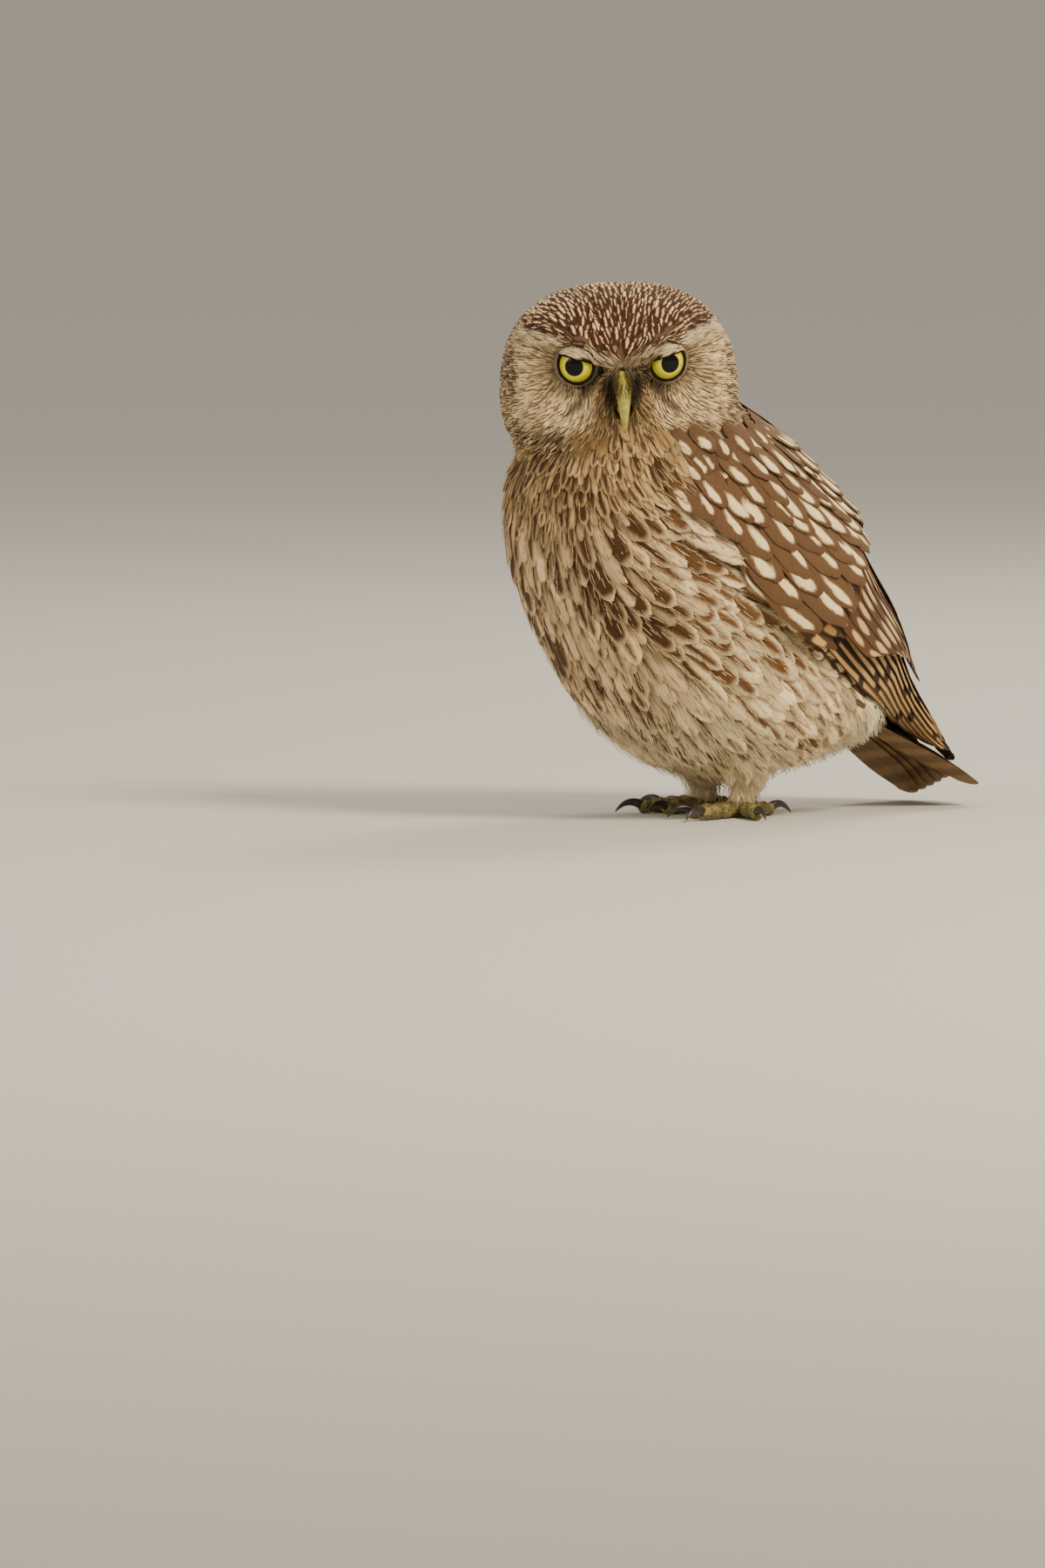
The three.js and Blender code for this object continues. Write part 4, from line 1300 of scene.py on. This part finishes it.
for name, side in (("left", 1), ("right", -1)):
    primaries = Tier()
    tips = [(6.5 - (4.6 if k < 0.45 else 1.6) * (k - 0.45) ** 2, 84 - 54 * k**1.6) for k in np.linspace(0, 1, 9)]
    primaries.row(side, 9, ((3.0, 85), (2.9, 50)), tips, 12, 0.1, lambda i: (-4.8 + 0.4 * i, -6.4 + 0.4 * i))
    piece = primaries.piece(f"primaries_{name}", long_vane, FLIGHT_TONES, flight_look)
    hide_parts(f"wing_{name}")
    flights = Tier()
    flights.row(side, 8, ((2.6, 74), (2.75, 35)), ((3.75, 75), (5.2, 33)), 13, 0.125, lambda i: (-0.9, -0.3))
    flights.row(side, 3, ((2.7, 27), (2.6, 13)), ((5.1, 25), (4.4, 10)), 12, 0.11,
                lambda i: (-0.4 + 0.5 * i, 0.4 + 0.5 * i))
    piece = flights.piece(f"secondaries_{name}", long_vane, SECONDARY_TONES, secondary_look)
    block = Tier()
    block.row(side, 3, ((1.95, 94), (2.0, 82)), ((3.1, 88), (3.15, 76)), 9, 0.1,
              lambda i: (-1.1 + 0.6 * i, -1.7 + 0.6 * i))
    piece = block.piece(f"primary_coverts_{name}", long_vane, BLOCK_TONES, block_look)
    alula = Tier()
    alula.row(side, 2, ((1.9, 97), (2.0, 94)), ((2.45, 92), (2.7, 90)), 7, 0, lambda i: (0.0 - 0.4 * i, 0.6 - 0.4 * i))
    piece = alula.piece(f"alula_{name}", long_vane, WING_TONES, alula_look)
    coverts = Tier()
    for end, reach, width, inner in (
        (2.92, 0.85, 10.5, 26), (2.62, 0.78, 10.5, 30), (2.35, 0.75, 10, 34), (2.1, 0.7, 9.5, 36),
        (1.87, 0.64, 9.5, 38), (1.65, 0.55, 8.5, 40), (1.44, 0.45, 7.5, 42),
    ):
        front = float(wing_edge(end)) - 5 + 3 * float(smooth(end, 1.8, 2.6))
        count = round((front - inner) / 8.5)
        coverts.row(side, count, ((end - reach, front + 4), (end - reach, inner + 3)),
                    ((end - 0.1, front), (end + 0.2, inner)), width, 0.125, uneven=1.4)
    for end, inner, outer, reach, width, count in (
        (1.5, 10, 38, 0.5, 9, 5), (1.9, 8, 33, 0.7, 11, 4), (2.3, 7, 29, 0.75, 12, 4), (2.7, 6, 25, 0.8, 12, 4), (3.1, 6, 22, 0.8, 12, 4),
    ):
        coverts.row(side, count, ((end - reach, outer + 4), (end - reach, inner + 3)), ((end, outer), (end, inner)),
                    width, 0.1, sunk=0.6, proud=1.1, uneven=1.2)
    piece = coverts.piece(f"coverts_{name}", short_vane, WING_TONES, covert_look, camber=0.1)

# Rows of the same feathers meet over the back, and plain ones cover the tail's root.
RUMP_TONES = (colour("7a5c3a"), colour("4a341f"))
back = Tier()
for end in np.arange(1.5, 4.8, 0.4):
    back.row(1, 3, ((end - 0.8, -9), (end - 0.8, 9)), ((end, -8), (end, 8)), 12, 0, sunk=0.2, proud=1.4, uneven=1.2)
piece = back.piece("back_feathers", short_vane, WING_TONES, covert_look, camber=0.1)
rump = Tier()
for end, lift in ((6.0, -3.2), (5.6, -4.2), (5.2, -5.2)):
    rump.row(1, 9, ((end - 1.3, -78), (end - 1.3, 78)), ((end, -84), (end, 84)), 9, 0, lambda i: (lift - 1, lift))
piece = rump.piece("rump_feathers", short_vane, RUMP_TONES, plain_look, camber=0.1)
sprout(
    "mantle_feathers", scattered(both(on_region("mantle"), clear_of_wing), 3.2, 4.8, 9000), small_vane, 12, 6.4, 1.3,
    covert_look, body_unwrap, stray=0.12, over=over_wing, camber=0.15, region="mantle",
)


# Tail
# Twelve feathers, short and rounded, folded with the middle pair on top.
TAIL_ROOT, TAIL_TIP = np.array((0, 34, 41.0)), np.array((0, 94.5, 9.5))
tail_way = unit(TAIL_TIP - TAIL_ROOT)
tail_length = np.linalg.norm(TAIL_TIP - TAIL_ROOT)
tail_up = np.array((0, -tail_way[2], tail_way[1]))
TAIL_TONES = (colour("6a4e2e"), colour("8c6c42"))
tail = Tier()
for pair in range(6):
    for side in (1, -1):
        t = np.linspace(0, 1, 9)[:, None]
        level = -0.6 * (pair + (1 if side < 0 and pair == 0 else 0))
        centre = (1.2 + 1.75 * pair) * (0.5 + t)
        rail = TAIL_ROOT + tail_way * (tail_length * t * (1 - 0.001 * pair**2))
        rail = rail + np.array((side, 0, 0)) * centre + tail_up * (level - 0.06 * centre + 0.16 * side * centre * t - 0.5 * pair * t**2)
        across = unit(np.array((side, 0, 0)) + tail_up * (0.16 * side * t - 0.06))
        tail.rails.append(rail)
        tail.sides.append(across * side)
        tail.hands.append(side)
        tail.tops.append(np.broadcast_to(tail_up, (9, 3)))
        tail.half.append(7.6)


def tail_barred(u, v, seed, width, wander, fringe):
    """Blurred bars and a pale tip edge."""
    wave = ((v + wander * 0.05) * 7.0).math("FRACT")
    return (abs(wave - 0.5).fall(0.12, 0.34) * 0.8).math("MAXIMUM", v.rise(0.96, 0.985))


piece = tail.piece("tail_vanes", long_forms(16, 9, 0.6), TAIL_TONES,
                   feather_look("tail_feathers", tail_barred, 0.65, 80.0, 0.3))
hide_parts("tail")


# Feet
# Four toes to a foot, of yellow-olive scaly skin over round pads, each with a black hooked claw.
TOES = {"inner": (-16, 17.5), "middle": (11, 21), "outer": (64, 16.5), "hind": (170, 11.5)}
scales, tree, shader = fresh("toe_skin", 0.6)
place = tree.nodes.new("ShaderNodeTexCoord").outputs["Object"]
cells = tree.nodes.new("ShaderNodeTexVoronoi")
cells.inputs["Scale"].default_value = 900
tree.links.new(place, cells.inputs["Vector"])
plate = Wire(tree, cells.outputs["Distance"])
grain = speckle(tree, place, 350, 3)
tint = mixed(tree, grain.rise(0.35, 0.7), colour("6d6132"), colour("a3925a"))
tint = lit(tree, tint, plate.fall(0.25, 0.75) * 0.45 + 0.6)
tree.links.new(tint, shader.inputs["Base Color"])
bumped(tree, shader, plate.fall(0.1, 0.7), 0.0004)
black_horn, tree, shader = fresh("claws", 0.32, coat_weight=0.3)
place = tree.nodes.new("ShaderNodeTexCoord").outputs["Object"]
grain = speckle(tree, place, 500, 2)
tree.links.new(mixed(tree, grain.rise(0.3, 0.8), colour("17120f"), colour("3a322c")), shader.inputs["Base Color"])
for name, side, turn in (("left", 1, 8), ("right", -1, 4)):
    ankle = np.array((13.0 * side, -1 if side > 0 else 3, 0))
    for digit, (angle, length) in TOES.items():
        bearing = math.radians(angle + turn)
        way = np.array((side * math.sin(bearing), -math.cos(bearing), 0))
        across = np.array((-way[1], way[0], 0))
        stops = np.array((2.6, length * 0.45, length * 0.75, length))
        reach = np.linspace(2.6, length + 0.8, 30)
        height = np.interp(reach, stops, (2.5, 2.65, 2.35, 2.0))
        t = (reach - 2.6) / (length - 2.6)
        size = 2.5 * (1 - 0.16 * t) * (1 + 0.1 * np.cos(6 * np.pi * t))
        size = size * np.sqrt(np.clip(1 - ((t - 0.93) / 0.14).clip(0) ** 2, 0.05, 1))
        line = ankle + way * reach[:, None] + np.array((0, 0, 1)) * height[:, None]
        mesh = tube(f"toe_{name}_{digit}_skin", line, across, size, size, 18)
        co = corners(mesh)
        co[:, 2] = np.maximum(co[:, 2], 0.00002)
        mesh.vertices.foreach_set("co", co.ravel().astype(np.float32))
        mesh.update()
        mesh.materials.append(scales)
        piece = link(f"toe_{name}_{digit}_skin", mesh)
        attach(piece, "root")
        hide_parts(f"toe_{name}_{digit}")
        long = 9 * (0.85 if digit == "hind" else 1)
        at = lambda r, z: ankle + way * r + np.array((0, 0, z))
        line = arc(at(length - 0.4, 2.5), at(length + long * 0.55, 5.6), at(length + long, 0.75), 22)
        t = np.linspace(0, 1, 22)
        mesh = tube(f"claw_{name}_{digit}_horn", line, across, 1.25 * (1 - t) ** 0.75 + 0.15, 1.5 * (1 - t) ** 0.75 + 0.15, 14)
        mesh.materials.append(black_horn)
        piece = link(f"claw_{name}_{digit}_horn", mesh)
        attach(piece, "root")
        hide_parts(f"claw_{name}_{digit}")


# Studio
# A plain pale floor, a soft main light from the upper left, a wide fill and an even pale surround.
stage = bmesh.new()
bmesh.ops.create_grid(stage, x_segments=1, y_segments=1, size=30)
floor_mesh = bpy.data.meshes.new("floor")
stage.to_mesh(floor_mesh)
stage.free()
pale, tree, shader = fresh("floor", 0.8)
shader.inputs["Base Color"].default_value = (0.62, 0.61, 0.58, 1)
floor_mesh.materials.append(pale)
floor = link("floor", floor_mesh)

world = bpy.data.worlds.new("surround")
bpy.context.scene.world = world
world.use_nodes = True
world.node_tree.nodes["Background"].inputs["Color"].default_value = (1.0, 0.91, 0.76, 1)
world.node_tree.nodes["Background"].inputs["Strength"].default_value = 0.56
VIEW_RIGHT = np.array((math.cos(math.radians(55)), math.sin(math.radians(55)), 0))
VIEW_BACK = np.array((math.sin(math.radians(55)), -math.cos(math.radians(55)), 0))


def area_light(name, offset, size, power, tone):
    lamp = bpy.data.lights.new(name, "AREA")
    lamp.shape = "DISK"
    lamp.size = size
    lamp.energy = power
    lamp.color = tone
    lamp_object = bpy.data.objects.new(name, lamp)
    bpy.context.scene.collection.objects.link(lamp_object)
    lamp_object.location = offset
    aim = Vector((0, 0, 0.09)) - lamp_object.location
    lamp_object.rotation_mode = "QUATERNION"
    lamp_object.rotation_quaternion = aim.to_track_quat("-Z", "Y")


area_light("main", VIEW_RIGHT * 0.9 + VIEW_BACK * 0.9 + np.array((0, 0, 1.3)), 0.6, 33, (1, 0.88, 0.68))
area_light("fill", VIEW_RIGHT * -1.2 + VIEW_BACK * 0.8 + np.array((0, 0, 0.6)), 1.0, 5, (1, 0.94, 0.84))
area_light("rim", VIEW_RIGHT * 0.5 + VIEW_BACK * -1.1 + np.array((0, 0, 1.2)), 0.6, 12, (1, 0.92, 0.76))


# Camera
# It looks at the bird from its left front and a little above, from four metres off with a long lens.
DISTANCE = 4000
AZIMUTH, ELEVATION = math.radians(55), math.radians(4)
toward = np.array((math.sin(AZIMUTH) * math.cos(ELEVATION), -math.cos(AZIMUTH) * math.cos(ELEVATION), math.sin(ELEVATION)))
view_up = np.array((-math.sin(AZIMUTH) * math.sin(ELEVATION), math.cos(AZIMUTH) * math.sin(ELEVATION), math.cos(ELEVATION)))
aim = VIEW_RIGHT * -62.8 + view_up * 9.7
camera_data = bpy.data.cameras.new("camera")
camera_data.lens = 288
camera_data.sensor_width = 36
camera_data.clip_end = 100
camera = bpy.data.objects.new("camera", camera_data)
bpy.context.scene.collection.objects.link(camera)
camera.location = placed(aim + toward * DISTANCE)
camera.rotation_mode = "QUATERNION"
camera.rotation_quaternion = Vector(toward).to_track_quat("Z", "Y")
bpy.context.scene.camera = camera
